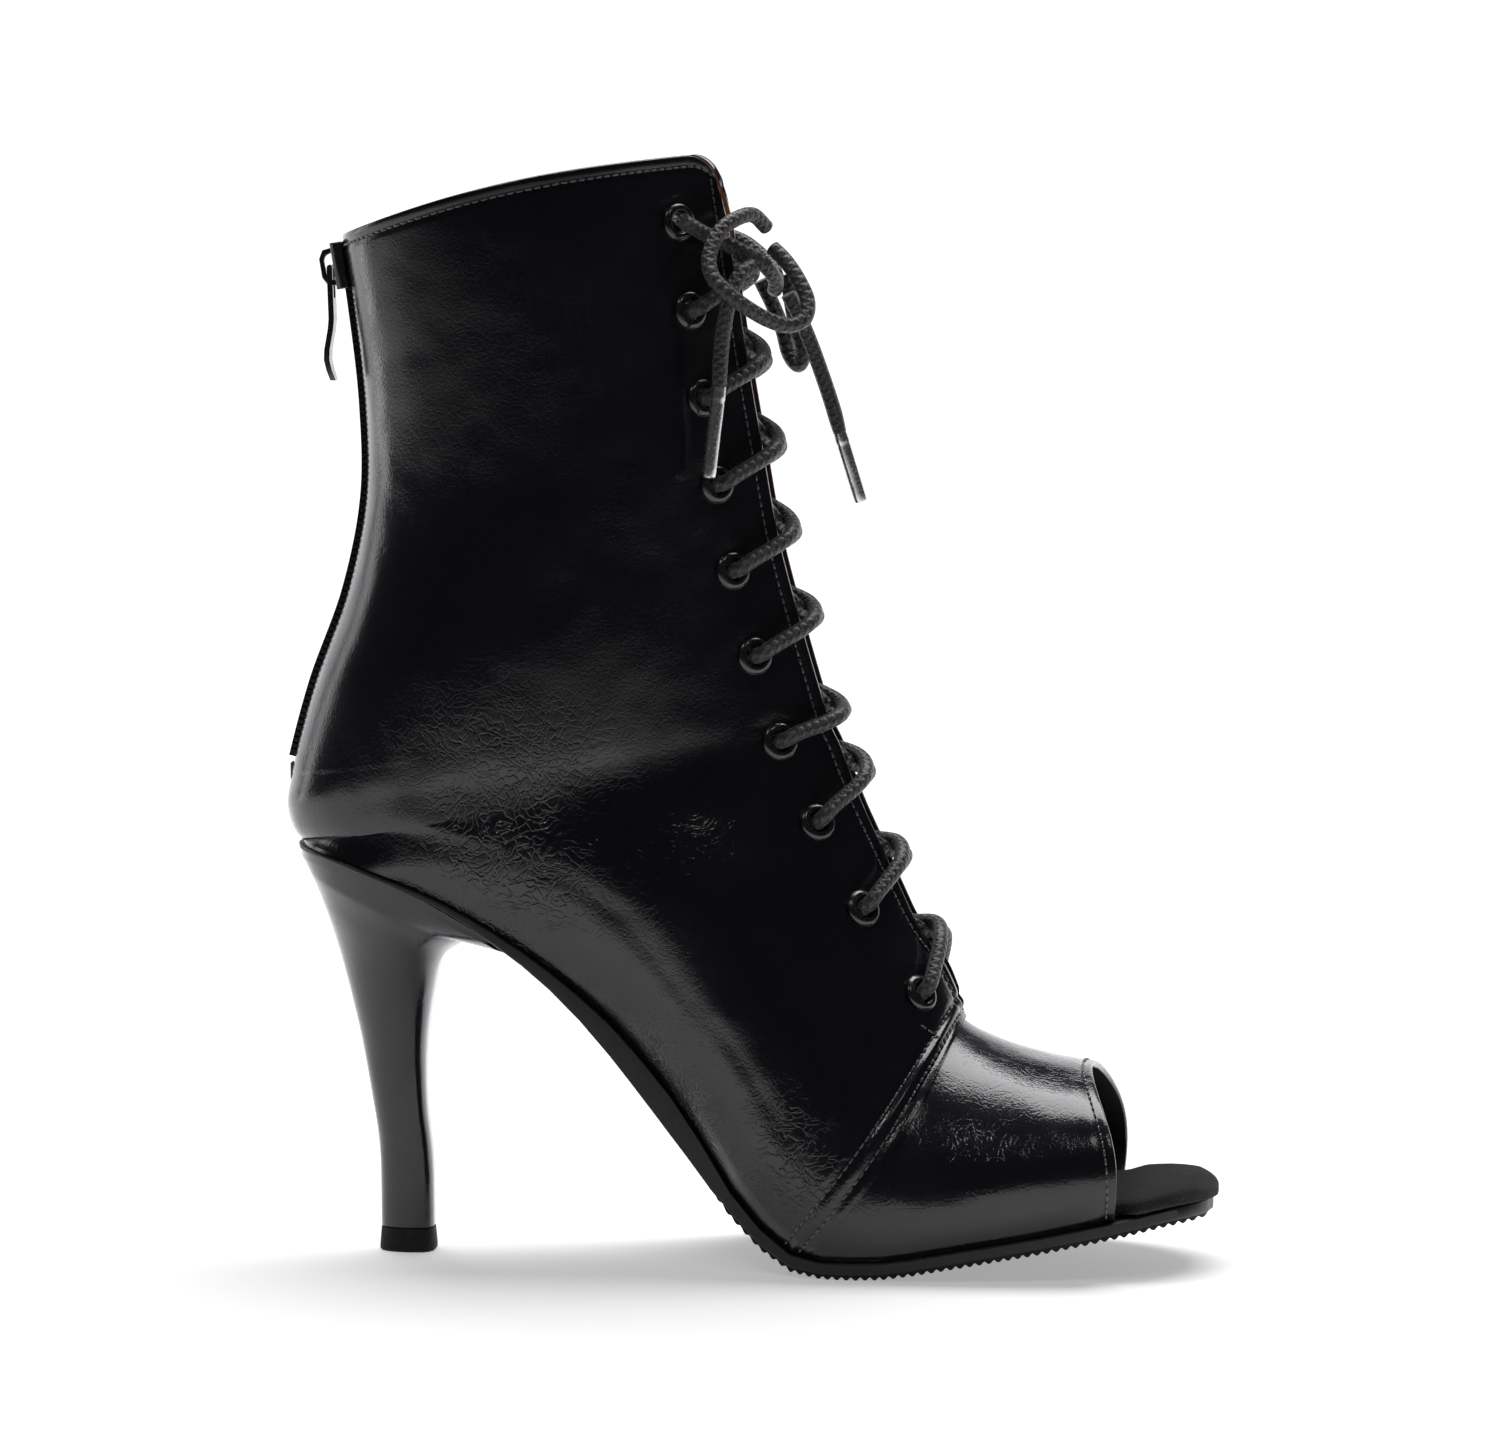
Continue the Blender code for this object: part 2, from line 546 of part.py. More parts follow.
def upper_rows():
    """Sections that the wall is built through: close together at the seat's back and at the seam."""
    collar = np.array([0, 0.22, 0.45, 0.75])
    shaft = np.array([1.25, 1.85, 2.5, 3.15, 3.8, 4.45, 5.1])
    zip_foot = np.array([5.7, ZIP_FOOT_ROW, ZIP_FOOT_ROW + 0.25, 6.7, 7.3, 7.75])
    seat = np.array([8.0, 8.05, 8.15, 8.3, 8.5, 8.75, 9.1, 9.6, 10.2, 10.8])
    arch = np.array([11.4, 12.0, 12.6, 13.2, 13.8, 14.4, 14.95, 15.4, THROAT_FOOT_ROW, 15.85])
    vamp = np.array([SEAM_ROW - 0.03, SEAM_ROW, 16.4, 17.0, 17.6, 18.2, 18.7, 19.0])
    return np.concatenate([collar, shaft, zip_foot, seat, arch, vamp])


def overlap(row, turn):
    """How far the quarters stand proud: full at the seam, nothing at the lower edge or up the shaft."""
    near_seam = np.clip((row - 12.5) / 2, 0, 1) * (row < SEAM_ROW)
    return OVERLAP_STEP * near_seam * np.clip(np.sin(turn) * 2.5 + (turn > 1.6), 0, 1)


def make_upper():
    """One hollow wall: open at the collar, throat, zip slot and toe, and underneath."""
    rows = upper_rows()
    shares = np.array([0, 0.06, 0.14, 0.24, 0.35, 0.47, 0.58, 0.68, 0.77, 0.86, 0.94, 1])
    bm = bmesh.new()
    grids = []
    for side in (-1, 1):
        row, turn = np.meshgrid(rows, shares * math.pi, indexing="ij")
        outer = surface(row, turn, side).reshape(*turn.shape, 3)
        normal = facing(row, turn, side).reshape(*turn.shape, 3)
        inner = outer - WALL * normal
        outer = outer + overlap(row, turn)[..., None] * normal
        # From the seat's back to the toe both faces end level, on the outsole.
        standing = rows >= SEAT_ROW
        for grid in (outer, inner):
            grid[standing, 0, 2] = sole_top(grid[standing, 0, 0]) + FEATHER_GAP
            floor = sole_top(grid[standing, 1:, 0].ravel()).reshape(standing.sum(), -1) + FEATHER_GAP
            grid[standing, 1:, 2] = np.maximum(grid[standing, 1:, 2], floor)
        # Round corner of the flap at the collar: rows near it sink towards the throat's edge.
        reach = np.cumsum(np.linalg.norm(np.diff(outer[:, ::-1], axis=1), axis=2), axis=1)
        reach = np.concatenate([np.zeros((len(rows), 1)), reach], axis=1)[:, ::-1]
        inward = np.clip(1 - reach / COLLAR_CORNER, 0, 1)
        drop = COLLAR_CORNER * (1 - np.sqrt(1 - inward**2))
        drop = drop * np.clip(1 - row / 0.85, 0, 1) ** 2
        outer[..., 2] -= drop
        inner[..., 2] -= drop
        grids.append((side, outer, inner))
    joined_back = (slot_half(rows) == 0) & (rows <= SEAT_ROW)
    joined_front = throat_half(rows) == 0
    for side, outer, inner in grids:
        for grid in (outer, inner):
            grid[joined_back, 0, 1] = 0
            ridge = section_ends(rows)[2][:, 3] * BALL_WIDTH
            grid[joined_front, -1, 1] = ridge[joined_front]
    # Both sides share the points of the joined lines, so the wall is one sheet before its rim is closed.
    layers = []
    for which in (1, 2):
        shared = {}
        sheet = []
        for grid in grids:
            points = grid[which]
            verts = [[None] * points.shape[1] for _ in rows]
            for i in range(len(rows)):
                for j in range(points.shape[1]):
                    last = points.shape[1] - 1
                    key = (i, j) if (j == 0 and joined_back[i]) or (j == last and joined_front[i]) else None
                    if key in shared and key is not None:
                        verts[i][j] = shared[key]
                        continue
                    verts[i][j] = bm.verts.new(points[i, j])
                    if key is not None:
                        shared[key] = verts[i][j]
            sheet.append((grid[0], verts))
        layers.append(sheet)
    outer_edges = {}
    for (side, outer), (_, inner) in zip(*layers):
        for i in range(len(rows) - 1):
            for j in range(len(shares) - 1):
                corners = ((i, j), (i + 1, j), (i + 1, j + 1), (i, j + 1))
                for k in range(4):
                    a, b = corners[k], corners[(k + 1) % 4]
                    va, vb = outer[a[0]][a[1]], outer[b[0]][b[1]]
                    pair = frozenset((va, vb))
                    entry = (va, vb, inner[a[0]][a[1]], inner[b[0]][b[1]])
                    outer_edges.setdefault(pair, []).append(entry)
                bm.faces.new([outer[a][b] for a, b in corners])
                bm.faces.new([inner[a][b] for a, b in corners[::-1]])
    for entries in outer_edges.values():
        if len(entries) == 1:
            va, vb, wa, wb = entries[0]
            bm.faces.new((vb, va, wa, wb))
    bmesh.ops.triangulate(bm, faces=bm.faces)
    return finish("upper", "patent", bm, sharp=math.radians(50))


def eyelet_places():
    """Centre and outward direction of every eyelet: (side, number, row, turn, point, normal)."""
    rows = np.linspace(0, THROAT_FOOT_ROW, 400)
    places = []
    for side in (-1, 1):
        edge = surface(rows, math.pi, side)
        length = np.concatenate([[0], np.cumsum(np.linalg.norm(np.diff(edge, axis=0), axis=1))])
        for number in range(EYELET_COUNT):
            row = float(np.interp(EYELET_FIRST + number * EYELET_PITCH, length, rows))
            round_it = np.linspace(math.pi, math.pi / 2, 120)
            path = surface(np.full(120, row), round_it, side)
            reach = np.concatenate([[0], np.cumsum(np.linalg.norm(np.diff(path, axis=0), axis=1))])
            turn = float(np.interp(EYELET_INSET, reach, round_it))
            point = surface(row, turn, side)[0]
            normal = facing(row, turn, side)[0]
            point = point + normal * overlap(np.array([row]), np.array([turn]))[0]
            places.append((side, number + 1, row, turn, point, normal))
    return places


def turned(name, colour, profile, point, normal, segments):
    """A ring turned from a profile of (radius, height) about an axis through a point."""
    to_axis = Vector((0, 0, 1)).rotation_difference(Vector(normal)).to_matrix()
    bm = bmesh.new()
    loops = []
    for i in range(segments):
        angle = 2 * math.pi * i / segments
        loop = []
        for radius, height in profile:
            local = Vector((radius * math.cos(angle), radius * math.sin(angle), height))
            loop.append(bm.verts.new(to_axis @ local + Vector(point)))
        loops.append(loop)
    for i in range(segments):
        first, second = loops[i], loops[(i + 1) % segments]
        for j in range(len(profile)):
            k = (j + 1) % len(profile)
            bm.faces.new((first[j], second[j], second[k], first[k]))
    return finish(name, colour, bm)


def make_eyelets(upper):
    """Enamelled eyelets: a flat rim outside the leather and a barrel through it."""
    segments = 8
    barrel = EYELET_HOLE + EYELET_BARREL
    # The polygons of hole and barrel are turned alike, so their flats keep the gap too.
    hole = barrel + GAP / math.cos(math.pi / segments)
    depth = WALL + OVERLAP_STEP
    cutters = []
    for side, number, row, turn, point, normal in eyelet_places():
        profile = (
            (EYELET_HOLE, -depth),
            (barrel, -depth),
            (barrel, GAP),
            (EYELET_RADIUS, GAP),
            (EYELET_HOLE, GAP + EYELET_RIM),
        )
        name = f"eyelet_{'inner' if side < 0 else 'outer'}_{number:02d}"
        turned(name, "enamel", profile, point, normal, segments)
        cutters.append((hole, point, normal, depth))
    for radius, point, normal, depth in cutters:
        to_axis = Vector((0, 0, 1)).rotation_difference(Vector(normal)).to_matrix()
        reach = 3 * MM
        rings = []
        for height in (-depth - reach, reach):
            ring = []
            for i in range(segments):
                angle = 2 * math.pi * i / segments
                local = Vector((radius * math.cos(angle), radius * math.sin(angle), height))
                ring.append(to_axis @ local + Vector(point))
            rings.append(ring)
        cutter = finish("hole_cutter", "patent", loft(rings))
        boolean(upper, cutter, "DIFFERENCE")


def heel_ring(back, front, half, points=9):
    """A round-backed section with a nearly flat front, from (x, z) at its back to (x, z) at its front."""
    ring = []
    for side in (-1, 1):
        turn = np.linspace(0, 1, points)
        share = 1 - np.cos(turn * math.pi * 0.5)
        y = np.sin(turn * math.pi * 0.5) ** 0.9
        side_points = []
        for s, w in zip(share, y):
            side_points.append((0.62 * s, side * half * w))
        side_points.append((0.82, side * half * 0.97))
        side_points.append((0.93, side * half * 0.80))
        side_points.append((1.0, side * half * 0.42))
        ring.append(side_points)
    loop = ring[0] + ring[1][:0:-1]
    return [(back[0] + t * (front[0] - back[0]), y, back[1] + t * (front[1] - back[1])) for t, y in loop]


def make_heel():
    """The covered heel: a slim column that widens into a cup under the seat."""
    rings = []
    numbered = [(i, *columns) for i, columns in enumerate(HEEL)]
    for row in np.linspace(0, len(HEEL) - 1, 13):
        b, bz, f, fz, foot, seat = smooth(numbered, row)[0]
        half = foot * HEEL_FOOT_WIDTH + seat * HEEL_SEAT_WIDTH
        foot_z = TOP_PIECE_HEIGHT + GAP
        back = (b * HEEL_FOOT_LENGTH, foot_z + bz * (SEAT_HEIGHT - foot_z))
        front = (f * HEEL_FOOT_LENGTH, foot_z + fz * (SEAT_HEIGHT - foot_z))
        rings.append(heel_ring(back, front, half))
    # The top follows the underside of the outsole, point by point.
    edge_x, inner, outer = outline(WELT / 2)
    low, high = edge_x[0], HEEL_FRONT
    top = []
    for x, y, _ in heel_ring((low, 0), (high, 0), HEEL_SEAT_WIDTH / 2):
        x = min(max(x, low), high)
        limit = np.interp(x, edge_x, outer)
        y = math.copysign(min(abs(y), limit), y)
        top.append((x, y, sole_under(x) - GAP))
    lower = [(x, y * 0.985, z - HEEL_LIP) for x, y, z in top]
    rings += [lower, top]
    return finish("heel", "patent", loft(rings))


def make_top_piece():
    """The rubber top piece that the heel stands on, a little wider at the floor."""
    length, width, height = HEEL_FOOT_LENGTH / 2, HEEL_FOOT_WIDTH / 2, TOP_PIECE_HEIGHT
    rings = []
    for z, flare in ((0, TOP_PIECE_FLARE), (0.25 * height, TOP_PIECE_FLARE), (height, 0)):
        rings.append(heel_ring((-length - flare, z), (length + flare, z), width + flare))
    return finish("heel_top_piece", "rubber", loft(rings))


def back_frame(row):
    """Middle of the zip's slot at a section: the point, the way down it, and the way out."""
    low, high = surface(row + 0.05, 0, -1)[0], surface(row - 0.05, 0, -1)[0]
    point = surface(row, 0, -1)[0] * (1, 0, 1)
    down = (low - high) * (1, 0, 1)
    down = down / np.linalg.norm(down)
    return point, down, np.cross((0, 1, 0), down)


def make_zip_tape():
    """One woven strip behind the slot, which follows the wall's inner face on both sides."""
    rings = []
    for row in (0.06, *upper_rows()[1:]):
        if row > ZIP_FOOT_ROW + 0.3:
            break
        half = section_ends(np.array([row]))[2][0, 0] * SHAFT_WIDTH / 2
        foot = slot_half(np.array([row]))[0]
        room = GAP + 0.7 * MM * min(1, max(0, 2 * (row - ZIP_FOOT_ROW + 0.9)))
        layers = []
        for depth in (WALL + room, WALL + room + TAPE_THICKNESS):
            for side in (-1, 1):
                for y in (TAPE_WIDTH / 2, 0.7 * TAPE_WIDTH / 2, ZIP_SLOT / 2):
                    cut = math.asin(foot / half)
                    turn = (math.asin(y / half) - cut) / (1 - 2 * cut / math.pi) if y > foot else 0
                    layers.append(surface(row, turn, side)[0] - depth * facing(row, turn, side)[0])
        outer = layers[0:3] + layers[5:2:-1]
        inner = layers[6:9] + layers[11:8:-1]
        rings.append(outer + inner[::-1])
    return finish("zip_tape", "tape", loft(rings))


def make_zip_chain():
    """The closed teeth as one bar with sloped shoulders."""
    half, low = CHAIN_WIDTH / 2, -WALL
    section = (
        (-half, low),
        (half, low),
        (half, 0.5 * CHAIN_PROUD),
        (0.65 * half, CHAIN_PROUD),
        (-0.65 * half, CHAIN_PROUD),
        (-half, 0.5 * CHAIN_PROUD),
    )
    rings = []
    for row in (0.08, *upper_rows()[1:]):
        if row > ZIP_FOOT_ROW - 0.2:
            break
        point, _, out = back_frame(row)
        rings.append([point + np.array((0, y, 0)) + h * out for y, h in section])
    return finish("zip_chain", "enamel", loft(rings))


def prism(name, colour, outline, start, end, place):
    """Solid between two copies of an outline: place turns (u, v, w) into a point, w from start to end."""
    rings = [[place(u, v, w) for u, v in outline] for w in (start, end)]
    return finish(name, colour, loft(rings))


def make_zip_slider():
    """A plate with side walls round the teeth and a bridge along it that holds the pull."""
    point, down, out = back_frame(SLIDER_ROW)
    across = np.array((0, 1, 0))
    low = CHAIN_PROUD + GAP
    top = low + SLIDER_PLATE
    side, inside = SLIDER_WIDTH / 2, CHAIN_WIDTH / 2 + GAP
    skirt = GAP + 0.15 * MM
    body_outline = (
        (-side, skirt), (-inside, skirt), (-inside, low), (inside, low),
        (inside, skirt), (side, skirt), (side, 0.7 * top), (0.8 * side, top), (-0.8 * side, top),
        (-side, 0.7 * top),
    )
    body = prism(
        "zip_slider", "enamel", body_outline, -SLIDER_LENGTH / 2, SLIDER_LENGTH / 2,
        lambda y, h, t: point + y * across + h * out + t * down,
    )
    reach, rise = 0.41 * SLIDER_LENGTH, SLIDER_BRIDGE
    sink = 0.4 * MM
    bridge_outline = (
        (-reach, -sink), (-0.92 * reach, 0.68 * rise), (-0.5 * reach, rise), (0.5 * reach, rise),
        (0.92 * reach, 0.68 * rise), (reach, -sink), (reach - BRIDGE_THICKNESS, -sink),
        (0.86 * reach - BRIDGE_THICKNESS, 0.5 * rise), (0.4 * reach, rise - BRIDGE_THICKNESS),
        (-0.4 * reach, rise - BRIDGE_THICKNESS), (BRIDGE_THICKNESS - 0.86 * reach, 0.5 * rise),
        (BRIDGE_THICKNESS - reach, -sink),
    )
    bridge = prism(
        "bridge", "enamel", bridge_outline, -BRIDGE_WIDTH / 2, BRIDGE_WIDTH / 2,
        lambda t, h, y: point + y * across + (top + h) * out + t * down,
    )
    boolean(body, bridge, "UNION")
    pivot = point + (top + PULL_BAR + 0.45 * MM) * out
    return pivot


def make_zip_pull(pivot):
    """A thin bent tab with two arms beside the bridge and a bar under it, its origin on the bar's axis."""
    line = smooth(PULL_LINE, np.linspace(0, 1, 12))[:, 0] * PULL_LENGTH
    drop = np.linspace(0, 1, 12) * PULL_LENGTH
    arm_in, arm_out = BRIDGE_WIDTH / 2 + GAP, PULL_WIDTH / 2
    thick = PULL_THICKNESS / 2

    def strip(name, first, last, low, high, point=0):
        rings = []
        for i in range(first, last):
            narrow = point * (i == last - 1)
            rings.append(
                [
                    (line[i] - thick, low + narrow, -drop[i]),
                    (line[i] + thick, low + narrow, -drop[i]),
                    (line[i] + thick, high - narrow, -drop[i]),
                    (line[i] - thick, high - narrow, -drop[i]),
                ]
            )
        return finish(name, "enamel", loft(rings))

    tab = strip("zip_pull", 3, 12, -PULL_WIDTH / 2, PULL_WIDTH / 2, 0.9 * MM)
    for low, high in ((-arm_out, -arm_in), (arm_in, arm_out)):
        boolean(tab, strip("arm", 0, 4, low, high), "UNION")
    ring = [
        (PULL_BAR * math.cos(a), PULL_BAR * math.sin(a))
        for a in np.linspace(0, 2 * math.pi, 8, endpoint=False)
    ]
    end = arm_out - 0.1 * MM
    bar = prism("bar", "enamel", ring, -end, end, lambda x, z, y: (x, y, z))
    boolean(tab, bar, "UNION")
    tab.location = pivot
    return tab


def tube(name, colour, path, radius, sides=6):
    """Closed tube round a short path, its rings square to the path."""
    path = np.array(path)
    ahead = np.gradient(path, axis=0)
    rings = []
    for point, way in zip(path, ahead):
        way = way / np.linalg.norm(way)
        first = np.cross(way, (0, 0, 1))
        first = first / np.linalg.norm(first)
        second = np.cross(way, first)
        angles = np.linspace(0, 2 * math.pi, sides, endpoint=False)
        rings.append([point + radius * (math.cos(a) * first + math.sin(a) * second) for a in angles])
    return finish(name, colour, loft(rings), sharp=math.radians(70))


def make_crossings():
    """Each crossing: two strands from the eyelets below, over the flaps' edges, to behind those above."""
    places = {(side, number): (row, point, normal) for side, number, row, _, point, normal in eyelet_places()}
    radius = LACE / 2
    over = GAP + EYELET_RIM + 2 * GAP + radius
    under = WALL + OVERLAP_STEP + GAP + radius
    for number in range(1, EYELET_COUNT):
        strands = []
        for side in (-1, 1):
            row, start, out = places[side, number + 1]
            high_row, end, out_high = places[-side, number]
            edge_row = row + 0.35 * (high_row - row)
            far_row = row + 0.66 * (high_row - row)
            edge = surface(edge_row, math.pi, side)[0]
            far_edge = surface(far_row, math.pi, -side)[0]
            middle = (surface((row + high_row) / 2, math.pi, 1)[0]) * (1, 0, 1)
            ahead = facing(edge_row, math.pi, side)[0]
            forward = np.array((ahead[0], 0, ahead[2]))
            forward = forward / np.linalg.norm(forward)
            hidden = under + 0.5 * MM
            strands.append(
                (
                    start + over * out,
                    edge + (LACE_BULGE + 0.6 * MM) * forward + np.array((0, side * 1.8 * MM, 0)),
                    middle + 0.1 * MM * forward,
                    far_edge - (hidden + 1.4 * MM) * forward + np.array((0, side * 2 * MM, 0)),
                    end - under * out_high,
                )
            )
        name = f"lace_cross_{number}"
        cross = tube(name, "lace", strands[0], radius)
        boolean(cross, tube("strand", "lace", strands[1], radius), "UNION")


def make_cord(name, points):
    """A lace of the bow: a round tube on a line through smoothed points."""
    numbered = [(i, *(value * MM for value in point)) for i, point in enumerate(points)]
    length = sum(np.linalg.norm(np.subtract(a, b)) for a, b in zip(points, points[1:])) * MM
    count = max(4, round(length / (2.2 * LACE)) + 1)
    path = smooth(numbered, np.linspace(0, len(points) - 1, count))
    curve = bpy.data.curves.new(name, "CURVE")
    curve.dimensions = "3D"
    curve.bevel_depth = LACE / 2
    curve.bevel_resolution = 2
    curve.use_fill_caps = True
    spline = curve.splines.new("POLY")
    spline.points.add(count - 1)
    for point, place in zip(spline.points, path):
        point.co = (*place, 1)
    return new_object(name, "lace", curve)


def make_bow():
    for name, points in CORDS.items():
        make_cord(name, points)
    for name, ends in AGLETS.items():
        start, end = (np.array(point) * MM for point in ends)
        path = [start + share * (end - start) for share in (0, 0.5, 1)]
        tube(name, "metal", path, AGLET / 2, sides=10)


for leftover in list(bpy.data.objects):
    bpy.data.objects.remove(leftover, do_unlink=True)

make_outsole()
make_insole()
upper_wall = make_upper()
make_eyelets(upper_wall)
make_heel()
make_top_piece()
make_zip_tape()
make_zip_chain()
make_zip_pull(make_zip_slider())
make_crossings()
make_bow()
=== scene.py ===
import math

import bmesh
import bpy
import numpy as np
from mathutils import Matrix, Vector


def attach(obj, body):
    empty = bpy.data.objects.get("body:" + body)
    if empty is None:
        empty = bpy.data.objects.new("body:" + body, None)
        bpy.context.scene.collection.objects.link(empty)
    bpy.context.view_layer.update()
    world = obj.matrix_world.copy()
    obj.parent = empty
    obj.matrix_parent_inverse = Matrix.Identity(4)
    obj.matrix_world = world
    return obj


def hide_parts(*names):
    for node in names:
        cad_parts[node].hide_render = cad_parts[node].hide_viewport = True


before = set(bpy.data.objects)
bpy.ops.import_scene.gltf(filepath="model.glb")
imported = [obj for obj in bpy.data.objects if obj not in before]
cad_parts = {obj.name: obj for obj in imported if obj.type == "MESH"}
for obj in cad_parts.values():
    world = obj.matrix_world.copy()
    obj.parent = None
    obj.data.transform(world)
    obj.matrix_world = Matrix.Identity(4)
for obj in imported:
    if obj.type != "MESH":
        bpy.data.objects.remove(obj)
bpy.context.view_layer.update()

# Camera: a long lens a little in front of the boot's side and a little above it, as in the photograph.
camera = bpy.data.cameras.new("camera")
camera.sensor_width = 36
camera.lens = 174.9
camera.clip_end = 20
eye = bpy.data.objects.new("camera", camera)
bpy.context.scene.collection.objects.link(eye)
eye.location = (0.2293, -1.6935, 0.272)
look = Vector((0.0811, 0, 0.1246)) - eye.location
eye.rotation_euler = look.to_track_quat("-Z", "Y").to_euler()
bpy.context.scene.camera = eye

# The bow: a round waxed braid, charcoal with fine light flecks, whose strands show as a herringbone. Knot,
# two loops and two ends are free cords on the routes that their solids have in the frame, and each end has
# a crimped metal aglet.
MM = 0.001


def add_mesh(name, points, faces, colour, smooth_angle=40, uv=None):
    """Object from a list of points and quads or triangles; uv holds a pair for each point."""
    mesh = bpy.data.meshes.new(name)
    mesh.from_pydata(np.asarray(points).tolist(), [], [list(map(int, f)) for f in faces])
    mesh.validate()
    if uv is not None:
        layer = mesh.uv_layers.new(name="UVMap")
        corner = np.empty(len(mesh.loops), int)
        mesh.loops.foreach_get("vertex_index", corner)
        layer.data.foreach_set("uv", np.asarray(uv)[corner].ravel())
    mesh.shade_smooth()
    mesh.set_sharp_from_angle(angle=math.radians(smooth_angle))
    obj = bpy.data.objects.new(name, mesh)
    bpy.context.scene.collection.objects.link(obj)
    obj.data.materials.append(colour)
    return obj


def grid_faces(rows, columns, closed=False, start=0):
    """Quads of a grid of points numbered row by row; closed joins the last column to the first."""
    across = columns if closed else columns - 1
    i, j = np.meshgrid(np.arange(rows - 1), np.arange(across), indexing="ij")
    k = (j + 1) % columns
    quads = np.stack([i * columns + j, (i + 1) * columns + j, (i + 1) * columns + k, i * columns + k], -1)
    return quads.reshape(-1, 4) + start


def lengths(path):
    """Length along a path at each of its points."""
    return np.concatenate([[0], np.cumsum(np.linalg.norm(np.diff(path, axis=0), axis=1))])


def at_length(at, length, values):
    """Points or directions at places along a path, on straight lines between those at its lengths."""
    return np.stack([np.interp(at, length, values[:, k]) for k in range(3)], -1)


def unit(ways):
    """The directions, each divided by its own length."""
    return ways / np.linalg.norm(ways, axis=-1, keepdims=True)


def tubes(paths, radius, sides=8, caps=True):
    """Points and quads of round tubes, each along its own path of points; radius may vary along it.

    Ring points are path + radius * (cos(a) * u + sin(a) * v), with u and v square to the path.
    """
    all_points, all_faces, all_uv, count = [], [], [], 0
    angles = np.linspace(0, 2 * math.pi, sides, endpoint=False)
    for path in paths:
        path = np.asarray(path, float)
        ahead = unit(np.gradient(path, axis=0))
        u = np.cross(ahead[0], (0.3, 0.2, 1.0))
        us = []
        for way in ahead:
            u = unit(u - way * (u @ way))
            us.append(u)
        us = np.array(us)
        vs = np.cross(ahead, us)
        r = np.broadcast_to(np.asarray(radius, float), (len(path),))[:, None, None]
        ring = np.cos(angles)[None, :, None] * us[:, None] + np.sin(angles)[None, :, None] * vs[:, None]
        points = path[:, None] + r * ring
        length = lengths(path)
        uv = np.stack(np.broadcast_arrays(angles[None, :] / (2 * math.pi), length[:, None] / MM), -1)
        faces = grid_faces(len(path), sides, True, count)
        all_points.append(points.reshape(-1, 3))
        all_uv.append(uv.reshape(-1, 2))
        all_faces += faces[:, ::-1].tolist()
        if caps:
            all_faces.append(list(range(count, count + sides)))
            last = count + (len(path) - 1) * sides
            all_faces.append(list(range(last + sides - 1, last - 1, -1)))
        count += len(path) * sides
    return np.concatenate(all_points), all_faces, np.concatenate(all_uv)


def resample(path, step):
    """The path as points a step apart, from its length along straight pieces."""
    length = lengths(path)
    count = max(3, int(round(length[-1] / step)) + 1)
    return at_length(np.linspace(0, length[-1], count), length, path)


def shader(name, base, rough, metallic=0.0, coat=0.0, coat_rough=0.1, sheen=0.0, specular=0.5):
    """A Principled material; returns it with its node tree and its shader node."""
    made = bpy.data.materials.new(name)
    made.use_nodes = True
    node = made.node_tree.nodes["Principled BSDF"]
    node.inputs["Base Color"].default_value = (*base, 1)
    node.inputs["Roughness"].default_value = rough
    node.inputs["Metallic"].default_value = metallic
    node.inputs["Coat Weight"].default_value = coat
    node.inputs["Coat Roughness"].default_value = coat_rough
    node.inputs["Sheen Weight"].default_value = sheen
    node.inputs["Specular IOR Level"].default_value = specular
    return made, made.node_tree, node


def add(tree, kind, **values):
    """A shader node with properties and inputs set by name."""
    node = tree.nodes.new(kind)
    for key, value in values.items():
        if key in node.inputs:
            node.inputs[key].default_value = value
        else:
            setattr(node, key, value)
    return node


def bump(tree, node, layers):
    """Chains bump nodes: each layer is (height socket, distance in metres, strength)."""
    normal = None
    for height, distance, strength in layers:
        made = add(tree, "ShaderNodeBump", Distance=distance, Strength=strength)
        tree.links.new(height, made.inputs["Height"])
        if normal is not None:
            tree.links.new(normal, made.inputs["Normal"])
        normal = made.outputs["Normal"]
    tree.links.new(normal, node.inputs["Normal"])


def calc(tree, operation, *values):
    """Result of a maths node whose values are sockets or numbers."""
    made = add(tree, "ShaderNodeMath", operation=operation)
    for socket, value in zip(made.inputs, values):
        if isinstance(value, bpy.types.NodeSocket):
            tree.links.new(value, socket)
        else:
            socket.default_value = value
    return made.outputs[0]


def ramp(tree, value, *stops):
    """A colour ramp over a value: stops are (place, grey level or colour)."""
    made = tree.nodes.new("ShaderNodeValToRGB")
    made.color_ramp.elements[0].position, made.color_ramp.elements[1].position = stops[0][0], stops[-1][0]
    while len(made.color_ramp.elements) < len(stops):
        made.color_ramp.elements.new(0.5)
    for element, (place, level) in zip(made.color_ramp.elements, stops):
        element.position = place
        element.color = (*level, 1) if isinstance(level, tuple) else (level, level, level, 1)
    tree.links.new(value, made.inputs["Fac"])
    return made.outputs["Color"]


def textured(tree, kind, **values):
    """A texture read at the object's own coordinates."""
    texture = add(tree, kind, **values)
    place = add(tree, "ShaderNodeTexCoord")
    tree.links.new(place.outputs["Object"], texture.inputs["Vector"])
    return texture


def noise(tree, scale, detail, roughness=0.5):
    """Grey noise at the object's own coordinates."""
    return textured(
        tree, "ShaderNodeTexNoise", Scale=scale, Detail=detail, Roughness=roughness,
    ).outputs["Fac"]


def ramp_to(tree, node, socket, value, *stops):
    """A ramp of a value into one of the material's sockets."""
    tree.links.new(ramp(tree, value, *stops), node.inputs[socket])


